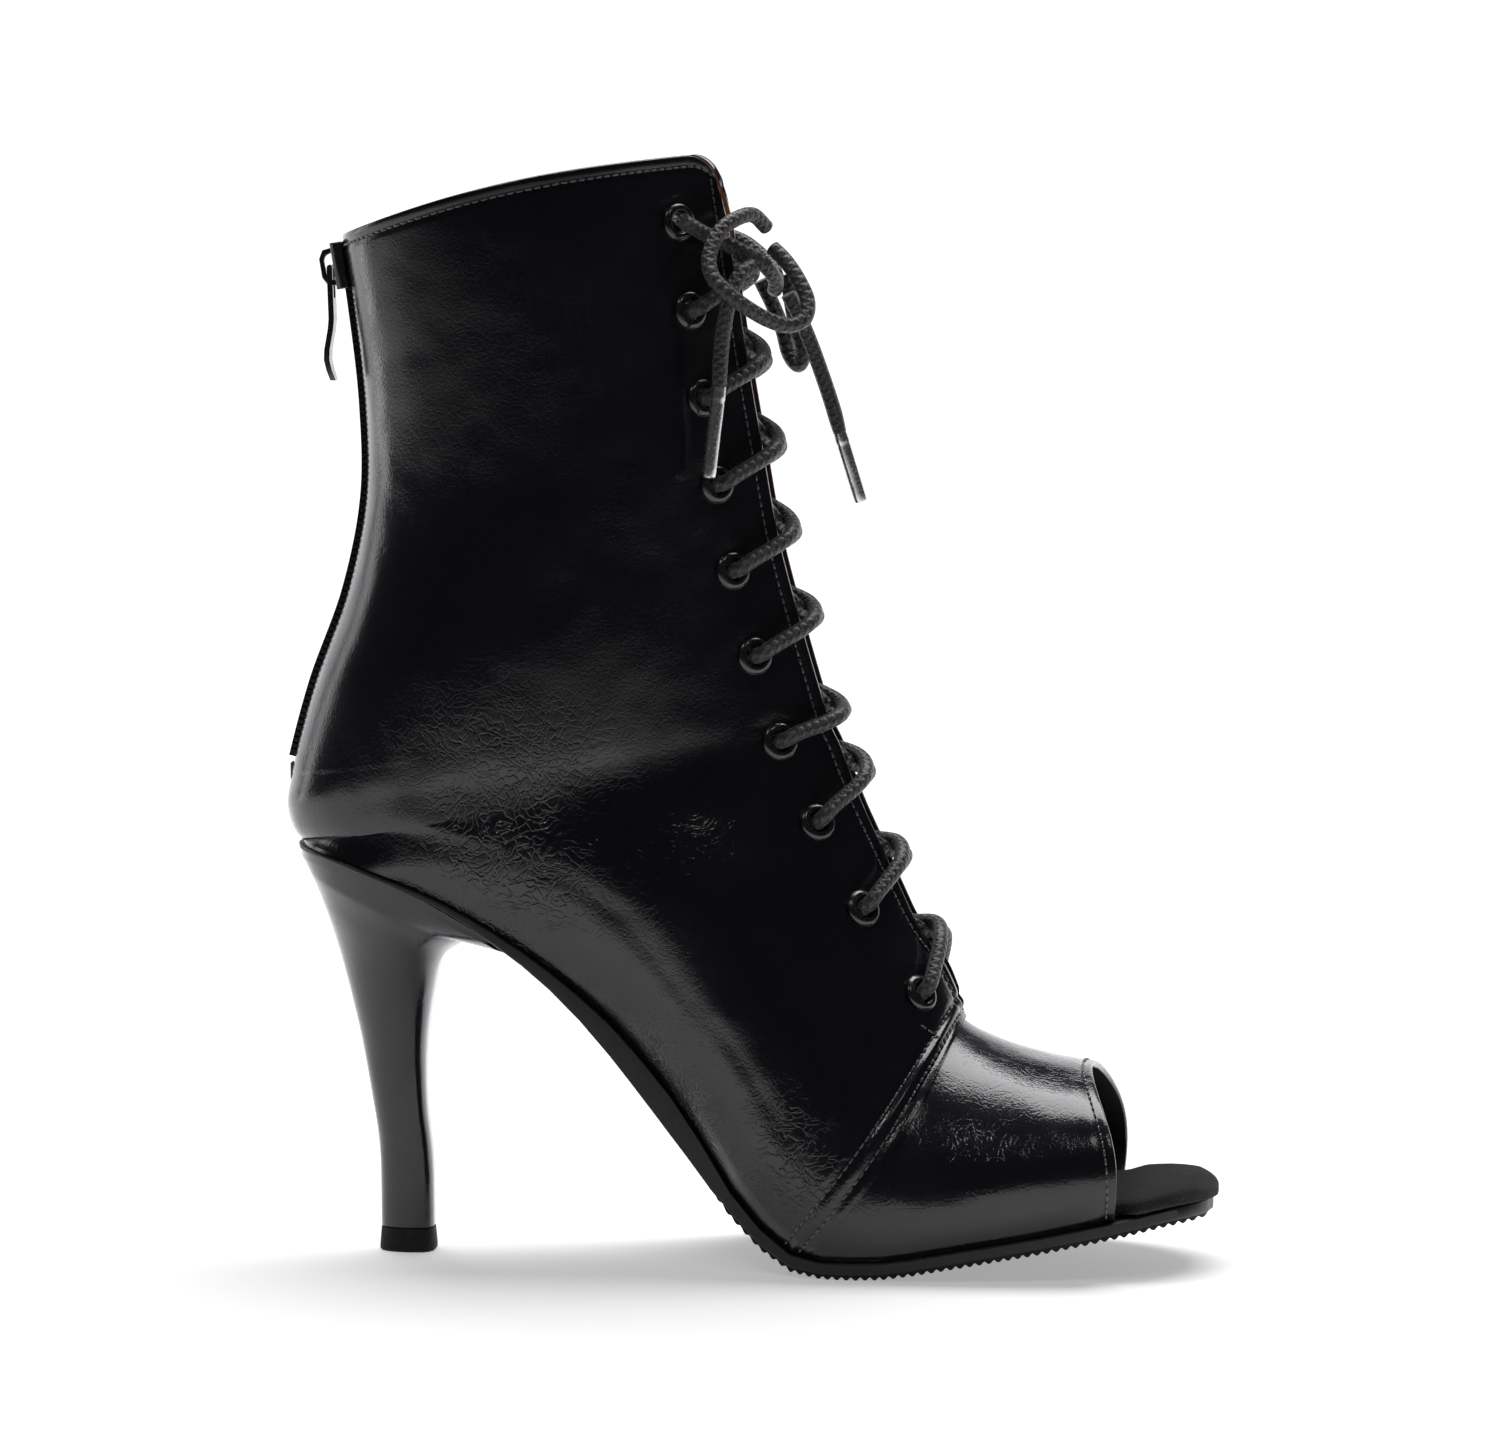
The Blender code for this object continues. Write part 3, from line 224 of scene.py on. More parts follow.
def smooth(rows, at):
    """Values of a table's columns at places on its first column: a cubic through every row.

    Each stretch is a Hermite curve whose slopes at its ends are those of the line through the rows on
    either side.
    """
    table = np.array(rows, float)
    knots, values = table[:, 0], table[:, 1:]
    slopes = np.gradient(values, knots, axis=0)
    at = np.clip(np.atleast_1d(np.asarray(at, float)), knots[0], knots[-1])
    i = np.clip(np.searchsorted(knots, at, side="right") - 1, 0, len(knots) - 2)
    span = (knots[i + 1] - knots[i])[:, None]
    t = (at - knots[i])[:, None] / span
    return (
        (2 * t**3 - 3 * t**2 + 1) * values[i]
        + (t**3 - 2 * t**2 + t) * span * slopes[i]
        + (3 * t**2 - 2 * t**3) * values[i + 1]
        + (t**3 - t**2) * span * slopes[i + 1]
    )


# In lace_end_inner the first point is the scene's own: it starts the end deeper in the knot, as a cord has
# to be 30 mm long.
CORDS = {
    "lace_knot": (
        (67.2, -20.6, 243.2), (71.6, -15.2, 240.2), (77.6, -12.0, 237.2), (84.0, -9.4, 233.8),
        (87.2, -4.0, 229.6), (86.8, 1.6, 226.8), (86.2, 6.6, 231.0), (79.6, 12.0, 237.0),
        (71.6, 15.4, 240.2), (67.2, 20.6, 243.2),
    ),
    "lace_loop_inner": (
        (85.2, -4.2, 241.4), (82.6, -8.6, 244.2), (79.4, -13.2, 243.6), (75.8, -17.2, 240.8),
        (73.6, -20.6, 235.6), (74.2, -23.4, 231.0), (77.4, -24.6, 227.2), (82.2, -23.4, 223.4),
        (87.0, -20.4, 220.4), (91.4, -17.6, 219.0), (95.0, -15.2, 220.4), (95.6, -13.0, 224.4),
        (93.4, -11.0, 229.2), (90.2, -8.8, 233.6), (87.0, -7.0, 236.6),
    ),
    "lace_loop_outer": (
        (89.3, 8.9, 230.1), (90.0, 9.0, 224.0), (91.2, 8.8, 218.0),
        (92.8, 9.4, 212.2), (91.6, 11.2, 208.8), (89.2, 12.8, 211.4), (87.6, 13.0, 217.2),
        (85.2, 12.8, 223.2), (82.6, 12.0, 228.6),
    ),
    "lace_end_inner": (
        (82.8, -12.6, 232.6), (80.2, -16.2, 230.6), (78.2, -18.6, 226.0), (77.0, -20.2, 219.6),
        (76.2, -21.0, 212.4), (75.8, -21.4, 204.4),
    ),
    "lace_end_outer": (
        (89.9, 1.5, 225.7), (92.2, 2.6, 221.0), (94.6, 4.6, 215.0), (97.2, 6.2, 207.6),
        (99.8, 7.2, 199.6), (101.6, 7.8, 193.0),
    ),
}
AGLETS = {
    "aglet_inner": ((75.7, -21.5, 203.8), (73.6, -23.2, 184.0)),
    "aglet_outer": ((101.8, 7.9, 192.3), (106.4, 9.6, 176.8)),
}
LACE = 3.6 * MM
# The braid's herringbone: strands round the cord each way, and millimetres along it for one of them.
STRANDS, BRAID_PITCH = 4, 2.0
braid, tree, node = shader("braid", (0.020, 0.020, 0.024), 0.5, coat=0.35, coat_rough=0.3, sheen=0.1)
where = add(tree, "ShaderNodeUVMap")
split = add(tree, "ShaderNodeSeparateXYZ")
tree.links.new(where.outputs["UV"], split.inputs[0])
waves = []
for sign in (1, -1):
    turn = calc(tree, "MULTIPLY", split.outputs["X"], sign * 2 * math.pi * STRANDS)
    angle = calc(tree, "MULTIPLY_ADD", split.outputs["Y"], 2 * math.pi / BRAID_PITCH, turn)
    waves.append(calc(tree, "SINE", angle))
strands = calc(tree, "MAXIMUM", *waves)
fleck = noise(tree, 2600.0, 3.0, 0.7)
ramp_to(
    tree, node, "Base Color", fleck, (0.35, (0.012, 0.012, 0.015)),
    (0.56, (0.030, 0.030, 0.035)), (0.66, (0.050, 0.050, 0.056)), (0.74, (0.20, 0.20, 0.21)),
)
bump(tree, node, [(strands, 0.0004, 1.0), (fleck, 0.00015, 0.5)])
metal, tree, node = shader("aglet_metal", (0.78, 0.78, 0.79), 0.22, metallic=0.95)
scratch = noise(tree, 1500.0, 4.0)
ramp_to(tree, node, "Roughness", scratch, (0.3, 0.12), (0.7, 0.3))
bump(tree, node, [(scratch, 0.00004, 0.25)])


def route(points, samples, step):
    """A smooth line through given points: a cubic over their numbers, then as points a step apart."""
    numbered = [(i, *point) for i, point in enumerate(points)]
    return resample(smooth(numbered, np.linspace(0, len(points) - 1, samples)), step)


aglet_of = {}
# The aglet's radius in mm at shares of its length: a rolled rim, a crimp, a straight tube and a rounded end
for name, (start, end) in AGLETS.items():
    start, end = np.array(start) * MM, np.array(end) * MM
    share = np.array([-0.06, 0.0, 0.05, 0.09, 0.12, 0.15, 0.5, 0.86, 0.95, 0.985, 1.0])
    radius = np.array([1.58, 1.66, 1.72, 1.72, 1.60, 1.66, 1.66, 1.64, 1.62, 1.5, 1.2]) * MM
    path = start + share[:, None] * (end - start)
    piece = add_mesh(name + "_metal", *tubes([path], radius, 28)[:2], metal, 30)
    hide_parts(name)
    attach(piece, "boot")
    aglet_of[name.replace("aglet", "lace_end")] = piece
for name, points in CORDS.items():
    path = route(np.array(points) * MM, 40 * len(points), 0.55 * MM)
    length = float(lengths(path)[-1])
    left = length - lengths(path)
    # The last 5 mm before an aglet are pressed thinner.
    thin = 1 - 0.16 * np.clip(1 - left / (5 * MM), 0, 1) ** 2 * (name in aglet_of)
    ring_points, faces, uv = tubes([path], LACE / 2 * thin, 20)
    piece = add_mesh(name + "_braid", ring_points, faces, braid, 60, uv)
    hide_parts(name)
    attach(piece, "boot")

# The upper: glossy black coated leather with a fine crackle, lined, pulled over a last and closed by the
# sole. The quarters lap the vamp in a curved seam, and every open edge is turned in. Its sizes, tables and
# functions are those of the frame's source, and outsole, insole, heel and zip share them.
SOLE_LENGTH, SEAT_OVERHANG, SOLE_WIDTH = 215.5 * MM, 25.3 * MM, 79 * MM
SEAT_HEIGHT, SHAFT_RISE, SHAFT_WIDTH = 97.0 * MM, 161.5 * MM, 66 * MM
BALL_WIDTH, VAMP_HEIGHT, TOE_SPRING, TOE_SWING = 82 * MM, 56.5 * MM, 12.3 * MM, 4 * MM
HEEL_ROUND, TOE_ROUND, GAP, WALL = 26 * MM, 43 * MM, 0.3 * MM, 1.6 * MM
OVERLAP_STEP, WELT, FEATHER_GAP = 0.9 * MM, 1.2 * MM, 0.6 * MM
SOLE_THICKNESS, SEAT_THICKNESS, WAIST_THICKNESS = 4.0 * MM, 1.0 * MM, 9.6 * MM
THROAT_GAP, COLLAR_CORNER = 15 * MM, 9 * MM
EYELET_COUNT, EYELET_PITCH, EYELET_FIRST, EYELET_INSET = 10, 20.4 * MM, 14.8 * MM, 13.2 * MM
ZIP_SLOT = 6.6 * MM

# Outline of the outsole: a row per station, as shares of its length and of half its width,
# before the ends are rounded
OUTLINE = (
    # along, inner, outer
    (-0.05, 0.700, 0.700),
    (0.117, 0.695, 0.695),
    (0.210, 0.680, 0.685),
    (0.303, 0.615, 0.655),
    (0.377, 0.552, 0.668),
    (0.442, 0.590, 0.765),
    (0.507, 0.762, 0.890),
    (0.572, 0.920, 0.985),
    (0.628, 0.982, 1.020),
    (0.698, 0.995, 1.020),
    (0.768, 0.978, 0.995),
    (0.815, 0.950, 0.965),
    (0.861, 0.915, 0.925),
    (0.930, 0.862, 0.862),
    (1.050, 0.770, 0.770),
)

# Side view of the outsole: its underside as a share of the seat's height above the floor, its thickness
# as shares of the thickness at the seat, the waist and the ball, and its rise as a share of the toe
# spring. The rows without height are the flat spot that the forefoot stands on.
SIDE = (
    # along, under, seat, waist, ball, spring
    (0.000, 0.9900, 1.0, 0.00, 0.0, 0.00),
    (0.045, 0.9720, 1.0, 0.00, 0.0, 0.00),
    (0.095, 0.9367, 1.0, 0.01, 0.0, 0.00),
    (0.165, 0.8697, 1.0, 0.06, 0.0, 0.00),
    (0.228, 0.7770, 0.9, 0.22, 0.0, 0.00),
    (0.275, 0.6930, 0.6, 0.36, 0.0, 0.00),
    (0.315, 0.6030, 0.3, 0.52, 0.1, 0.00),
    (0.352, 0.5036, 0.0, 0.72, 0.2, 0.00),
    (0.383, 0.4137, 0.0, 0.84, 0.2, 0.00),
    (0.412, 0.3297, 0.0, 0.90, 0.2, 0.00),
    (0.438, 0.2552, 0.0, 0.78, 0.4, 0.00),
    (0.461, 0.1924, 0.0, 0.40, 0.8, 0.00),
    (0.483, 0.1301, 0.0, 0.22, 1.0, 0.00),
    (0.508, 0.0749, 0.0, 0.14, 1.0, 0.00),
    (0.532, 0.0339, 0.0, 0.07, 1.0, 0.00),
    (0.552, 0.0108, 0.0, 0.02, 1.0, 0.00),
    (0.571, 0.0000, 0.0, 0.00, 1.0, 0.00),
    (0.600, 0.0000, 0.0, 0.00, 1.0, 0.00),
    (0.631, 0.0000, 0.0, 0.00, 1.0, 0.00),
    (0.680, 0.0000, 0.0, 0.00, 1.0, 0.10),
    (0.718, 0.0000, 0.0, 0.00, 1.0, 0.22),
    (0.805, 0.0000, 0.0, 0.00, 1.0, 0.49),
    (0.902, 0.0000, 0.0, 0.00, 1.0, 0.80),
    (0.957, 0.0000, 0.0, 0.00, 1.0, 0.96),
    (1.010, 0.0000, 0.0, 0.00, 1.0, 1.01),
)

# Sections of the upper, from the collar down and forward to the open toe. Each runs from a point on the
# back or the lower edge to one on the front: along is a share of the sole's length, seat of the seat's
# height, rise of the shaft's rise, vamp of the vamp's height. Half widths are shares of half the shaft's
# and half the ball's width; lean and ridge move the middle and the front line to the outer side, as
# shares of the ball's width. Keen is 1 for a round front and over 2 for flaps that come together like a
# wedge, widest is where along the section it is widest, bow its arch to the toe as a share of its length.
SECTIONS = (
    # back: along, seat, rise | front: along, seat, rise, vamp | shaft, ball, lean, ridge | keen, widest, bow
    (0.0520, 1.000, 0.879, 0.4620, 1.000, 1.000, 0.000, 1.000, 0.000, 0.00, 0.000, 2.60, 0.500, -0.036),
    (0.0640, 1.000, 0.776, 0.4755, 1.000, 0.860, 0.000, 0.985, 0.000, 0.00, 0.000, 2.60, 0.500, -0.010),
    (0.0755, 1.000, 0.638, 0.4915, 1.000, 0.712, 0.000, 0.955, 0.000, 0.00, 0.000, 2.60, 0.500, 0.000),
    (0.0765, 1.000, 0.502, 0.5090, 1.000, 0.575, 0.000, 0.940, 0.000, 0.00, 0.000, 2.60, 0.490, 0.000),
    (0.0560, 1.000, 0.365, 0.5265, 1.000, 0.445, 0.000, 0.960, 0.000, 0.00, 0.000, 2.60, 0.460, 0.000),
    (0.0190, 1.000, 0.229, 0.5510, 1.000, 0.320, 0.000, 0.985, 0.000, 0.00, 0.000, 2.50, 0.430, 0.000),
    (-0.0070, 1.000, 0.099, 0.5725, 1.000, 0.221, 0.000, 0.965, 0.000, 0.00, 0.000, 2.40, 0.400, 0.000),
    (-0.0120, 1.000, 0.043, 0.5835, 1.000, 0.175, 0.000, 0.930, 0.000, 0.00, 0.000, 2.30, 0.385, 0.000),
    (0.0056, 1.000, 0.000, 0.5925, 0.900, 0.000, 0.600, 0.000, 0.738, 0.00, 0.000, 2.20, 0.370, 0.000),
    (0.0520, 1.000, 0.000, 0.6050, 0.800, 0.000, 0.645, 0.000, 0.740, 0.00, 0.000, 2.15, 0.360, 0.000),
    (0.1410, 1.000, 0.000, 0.6200, 0.680, 0.000, 0.710, 0.000, 0.752, 0.00, 0.000, 2.10, 0.370, 0.000),
    (0.2480, 1.000, 0.000, 0.6400, 0.540, 0.000, 0.785, 0.000, 0.770, 0.00, 0.000, 2.10, 0.400, 0.000),
    (0.3300, 1.000, 0.000, 0.6610, 0.400, 0.000, 0.850, 0.000, 0.800, 0.00, -0.004, 2.10, 0.400, 0.005),
    (0.3960, 1.000, 0.000, 0.6800, 0.280, 0.000, 0.905, 0.000, 0.845, 0.00, -0.008, 2.00, 0.390, 0.015),
    (0.4510, 1.000, 0.000, 0.7010, 0.180, 0.000, 0.950, 0.000, 0.890, 0.00, -0.012, 1.90, 0.360, 0.025),
    (0.5070, 1.000, 0.000, 0.7170, 0.080, 0.000, 0.985, 0.000, 0.945, 0.00, -0.016, 1.70, 0.320, 0.035),
    (0.5720, 1.000, 0.000, 0.7280, 0.000, 0.000, 1.000, 0.000, 0.990, 0.00, -0.020, 1.25, 0.280, 0.045),
    (0.6510, 1.000, 0.000, 0.7690, 0.000, 0.000, 0.915, 0.000, 1.010, 0.00, -0.024, 1.05, 0.260, 0.055),
    (0.7670, 1.000, 0.000, 0.8160, 0.000, 0.000, 0.860, 0.000, 0.985, 0.00, -0.028, 1.00, 0.270, 0.070),
    (0.8970, 1.000, 0.000, 0.8670, 0.000, 0.000, 0.822, 0.000, 0.900, 0.00, -0.030, 1.00, 0.300, 0.095),
)
SEAT_ROW = 8  # the section whose lower end is the back of the heel seat
SEAM_ROW = 16  # the seam where the quarters lap the vamp
ZIP_FOOT_ROW = 6.0
THROAT_FOOT_ROW = 15.7

# Half the throat's gap along the sections, as a share of its gap at the collar
THROAT = (
    # row, gap
    (0.0, 0.50),
    (4.0, 0.46),
    (9.0, 0.40),
    (13.0, 0.32),
    (15.0, 0.22),
    (15.7, 0.13),
)


def along(x):
    """Share of the sole's length at a place along it."""
    return (np.asarray(x, float) + SEAT_OVERHANG) / SOLE_LENGTH


def middle_line(x):
    """The sole's middle line: it swings to the inner side by the square of the way from ball to toe tip."""
    forward = np.clip((along(x) - 0.58) / 0.42, 0, None)
    return -TOE_SWING * forward**2


def stations(low, high, count, crowd=0.75):
    """Places from low to high, closer together towards both ends: even steps mixed with a half cosine."""
    t = np.linspace(0, 1, count)
    return low + (high - low) * ((1 - crowd) * t + crowd * (1 - np.cos(math.pi * t)) / 2)


STATIONS = stations(0.0006, 0.9994, 44, crowd=0.8) * SOLE_LENGTH - SEAT_OVERHANG


def sole_under(x):
    """Underside of the outsole, straight between its stations, so that what meets it keeps its gap."""
    table = smooth(SIDE, along(STATIONS))
    under = np.maximum(table[:, 0], 0) * SEAT_HEIGHT + np.maximum(table[:, 4], 0) * TOE_SPRING
    return np.interp(x, STATIONS, under)


def sole_top(x):
    """Top of the outsole, straight between its stations too."""
    table = smooth(SIDE, along(STATIONS))
    thick = table[:, 1] * SEAT_THICKNESS + table[:, 2] * WAIST_THICKNESS + table[:, 3] * SOLE_THICKNESS
    return sole_under(x) + np.interp(x, STATIONS, thick)


def outline(inset, samples=400):
    """Both edges of the outsole's outline moved in by inset: x, inner y and outer y.

    Half widths from the table are multiplied by a quarter ellipse at the back and by a fuller quarter
    curve at the toe.
    """
    turn = np.linspace(0, math.pi, samples)
    x = (1 - np.cos(turn)) / 2 * SOLE_LENGTH - SEAT_OVERHANG
    table = smooth(OUTLINE, along(x)) * SOLE_WIDTH / 2
    back = np.clip((x + SEAT_OVERHANG) / HEEL_ROUND, 0, 1)
    front = np.clip((SOLE_LENGTH - SEAT_OVERHANG - x) / TOE_ROUND, 0, 1)
    ends = np.sqrt(1 - (1 - back) ** 2) * (1 - (1 - front) ** 2.3) ** (1 / 2.3)
    centre = middle_line(x)
    edges = []
    for side, column in ((-1, 0), (1, 1)):
        y = centre + side * table[:, column] * ends
        dx, dy = np.gradient(x), np.gradient(y)
        size = np.hypot(dx, dy)
        edges.append((x + side * inset * dy / size, y - side * inset * dx / size))
    low = max(edge[0].min() for edge in edges)
    high = min(edge[0].max() for edge in edges)
    stations = low + (high - low) * (1 - np.cos(turn)) / 2
    return stations, *(np.interp(stations, *edge) for edge in edges)


FEATHER = outline(WELT)  # the leather's lower edge


def feather_half(x, side):
    """Half width of the upper's open underside, from the sole's middle line."""
    y = np.interp(x, FEATHER[0], FEATHER[1 if side < 0 else 2])
    inside = (x > FEATHER[0][0]) & (x < FEATHER[0][-1])
    return np.where(inside, np.clip(side * (y - middle_line(x)), 0, None), 0)


def section_ends(row):
    """Both ends of a section in the side view, and its other columns."""
    numbered = [(i, *columns) for i, columns in enumerate(SECTIONS)]
    c = smooth(numbered, row)
    back_x = c[:, 0] * SOLE_LENGTH - SEAT_OVERHANG
    back_x = np.where(row >= SEAT_ROW, np.maximum(back_x, FEATHER[0][0]), back_x)
    shaft_z = c[:, 1] * SEAT_HEIGHT + c[:, 2] * SHAFT_RISE + GAP
    back_z = np.where(row >= SEAT_ROW, sole_top(back_x) + FEATHER_GAP, shaft_z)
    front_x = c[:, 3] * SOLE_LENGTH - SEAT_OVERHANG
    front_z = c[:, 4] * SEAT_HEIGHT + c[:, 5] * SHAFT_RISE + c[:, 6] * VAMP_HEIGHT
    return np.stack([back_x, back_z], 1), np.stack([front_x, front_z], 1), c[:, 7:]


def throat_half(row):
    """Half the gap between the flaps: the table's share of the gap at the collar, nothing below the foot."""
    half = smooth(THROAT, row)[:, 0] * THROAT_GAP
    return np.where(row <= THROAT_FOOT_ROW, half, 0)


def slot_half(row):
    """Half the zip's slot: full down the back, narrower over its last stretch, nothing below its foot."""
    half = ZIP_SLOT / 2 * np.clip((ZIP_FOOT_ROW + 0.9 - row) / 1.2, 0, 1)
    return np.where(row <= ZIP_FOOT_ROW, half, 0)


def surface(row, turn, side):
    """Point of the upper's outer face before the overlap's step.

    Row picks the section. Turn runs from 0 at its back or lower end to pi at its front. Up to pi / 2 it
    is the part of an ellipse from the zip's slot or the lower edge to the widest place, and from there
    the half width falls to the throat's edge or the vamp's ridge as a power of a sine.
    """
    row, turn = (a.ravel() for a in np.broadcast_arrays(*map(np.atleast_1d, (row, turn))))
    back, front, c = section_ends(row)
    shaft, ball, lean, ridge, keen, widest, bow = c.T
    half = shaft * SHAFT_WIDTH / 2 + ball * BALL_WIDTH / 2 + side * lean * BALL_WIDTH
    foot = np.where(row >= SEAT_ROW, feather_half(back[:, 0], side), slot_half(row))
    edge = throat_half(row)
    sine, cosine = np.clip(np.sin(turn), 0, 1), np.cos(turn)
    upper = turn > math.pi / 2
    cut = np.arcsin(np.clip(foot / half, 0, 0.95))
    on = cut + (1 - 2 * cut / math.pi) * np.minimum(turn, math.pi / 2)
    part = np.where(
        upper,
        widest + (1 - widest) * np.clip(-cosine, 0, 1) ** 0.93,
        widest * (1 - np.clip(np.cos(on) / np.cos(cut), 0, 1) ** 0.93),
    )
    low = foot + half * (np.sin(on) - np.sin(cut))
    out = np.where(upper, edge + (half - edge) * sine**keen, low)
    way = front - back
    length = np.linalg.norm(way, axis=1)
    across = np.stack([way[:, 1], -way[:, 0]], 1) / length[:, None]
    place = back + way * part[:, None] + across * (bow * length * np.sin(math.pi * part))[:, None]
    bottom = np.where(row >= SEAT_ROW, middle_line(back[:, 0]), 0)
    y = bottom * (1 - part) + ridge * BALL_WIDTH * part + side * out
    return np.stack([place[:, 0], y, place[:, 1]], 1)


def facing(row, turn, side):
    """Unit normal of the outer face, from small steps along the row and round it.

    At the lower edge it is the one a little above, so that the wall stands on its edge.
    """
    row, turn = (a.ravel() for a in np.broadcast_arrays(*map(np.atleast_1d, (row, turn))))
    step = 0.004
    last = len(SECTIONS) - 1
    turn = np.where(row >= SEAT_ROW - 0.3, np.maximum(turn, 0.35), turn)
    low, high = np.clip(row - step, 0, last), np.clip(row + step, 0, last)
    down = surface(high, turn, side) - surface(low, turn, side)
    back, fore = np.clip(turn - step, 0, math.pi), np.clip(turn + step, 0, math.pi)
    round_it = surface(row, fore, side) - surface(row, back, side)
    return unit(np.cross(round_it, down) * side)


def overlap(row, turn):
    """How far the quarters stand proud: full at the seam, nothing at the lower edge or up the shaft."""
    near_seam = np.clip((row - 12.5) / 2, 0, 1) * (row < SEAM_ROW)
    return OVERLAP_STEP * near_seam * np.clip(np.sin(turn) * 2.5 + (turn > 1.6), 0, 1)


def eyelet_places():
    """Centre and outward direction of every eyelet: (side, number, row, turn, point, normal)."""
    rows = np.linspace(0, THROAT_FOOT_ROW, 400)
    places = []
    for side in (-1, 1):
        edge = surface(rows, math.pi, side)
        length = lengths(edge)
        for number in range(EYELET_COUNT):
            row = float(np.interp(EYELET_FIRST + number * EYELET_PITCH, length, rows))
            round_it = np.linspace(math.pi, math.pi / 2, 120)
            path = surface(np.full(120, row), round_it, side)
            reach = lengths(path)
            turn = float(np.interp(EYELET_INSET, reach, round_it))
            point = surface(row, turn, side)[0]
            normal = facing(row, turn, side)[0]
            point = point + normal * overlap(np.array([row]), np.array([turn]))[0]
            places.append((side, number + 1, row, turn, point, normal))
    return places


NO_SIDE = (1, 0, 1)  # puts a point or a way in the boot's middle plane


def back_frame(row):
    """Middle of the zip's slot at a section: the point, the way down it, and the way out."""
    low, high = surface(row + 0.05, 0, -1)[0], surface(row - 0.05, 0, -1)[0]
    point = surface(row, 0, -1)[0] * NO_SIDE
    down = unit((low - high) * NO_SIDE)
    return point, down, np.cross((0, 1, 0), down)


# The skin's grid: its rows lie closer together at the collar, the zip's foot, the heel seat and the seam.
levels = np.concatenate([
    np.linspace(0, 0.9, 24, endpoint=False), np.linspace(0.9, 5.9, 70, endpoint=False),
    np.linspace(5.9, 6.1, 5, endpoint=False), np.linspace(6.1, 7.7, 26, endpoint=False),
    np.linspace(7.7, 8.5, 26, endpoint=False), np.linspace(8.5, 15.6, 92, endpoint=False),
    [15.6, 15.69, 15.75, 15.85, 15.93, 15.995, 16.0], np.linspace(16.06, 19, 46),
])
share = np.linspace(0, 1, 76)
turning = math.pi * (0.75 * share + 0.25 * (1 - np.cos(math.pi * share)) / 2)
ROW, TURN = np.meshgrid(levels, turning, indexing="ij")
shape3 = (*ROW.shape, 3)
holes = [(point, normal) for _, _, _, _, point, normal in eyelet_places()]
EYELET_CUT = 3.1 * MM  # radius of the opening in the leather
# Rows of stitches, in mm: in from the collar and flaps, back from the seam, and in from the open toe.
EDGE_ROW, SEAM_ROWS, TOE_ROW = 2.4, (3.0, 7.0), 2.0
# Soft troughs and ridges: row, turn, half length along the rows, half width round, height in mm, slant.
FOLDS = (
    (6.9, 1.15, 1.6, 0.16, -0.32, 0.10), (7.4, 1.45, 1.8, 0.13, -0.28, 0.06),
    (8.6, 1.30, 1.5, 0.12, 0.26, -0.05), (9.4, 1.75, 1.6, 0.12, -0.30, -0.08),
    (10.6, 1.55, 1.8, 0.12, 0.24, 0.04), (11.6, 1.20, 1.5, 0.12, -0.26, 0.10),
    (12.7, 1.70, 1.4, 0.14, 0.28, 0.05), (13.6, 1.30, 1.3, 0.12, -0.26, -0.06),
    (4.2, 0.85, 1.7, 0.18, -0.24, 0.03), (3.0, 2.05, 1.5, 0.16, 0.22, -0.04),
    (17.0, 2.30, 0.8, 0.16, -0.22, 0.20), (17.6, 2.55, 0.7, 0.12, 0.20, 0.15),
    (14.4, 2.20, 1.0, 0.14, -0.30, 0.10), (15.1, 2.45, 0.8, 0.10, -0.26, 0.08),
)


def swell(distance, centre, width, height):
    """Rounded ridge or groove, all in mm: height * exp(-((distance - centre) / width)^2)."""
    return height * MM * np.exp(-(((distance - centre * MM) / (width * MM)) ** 2))


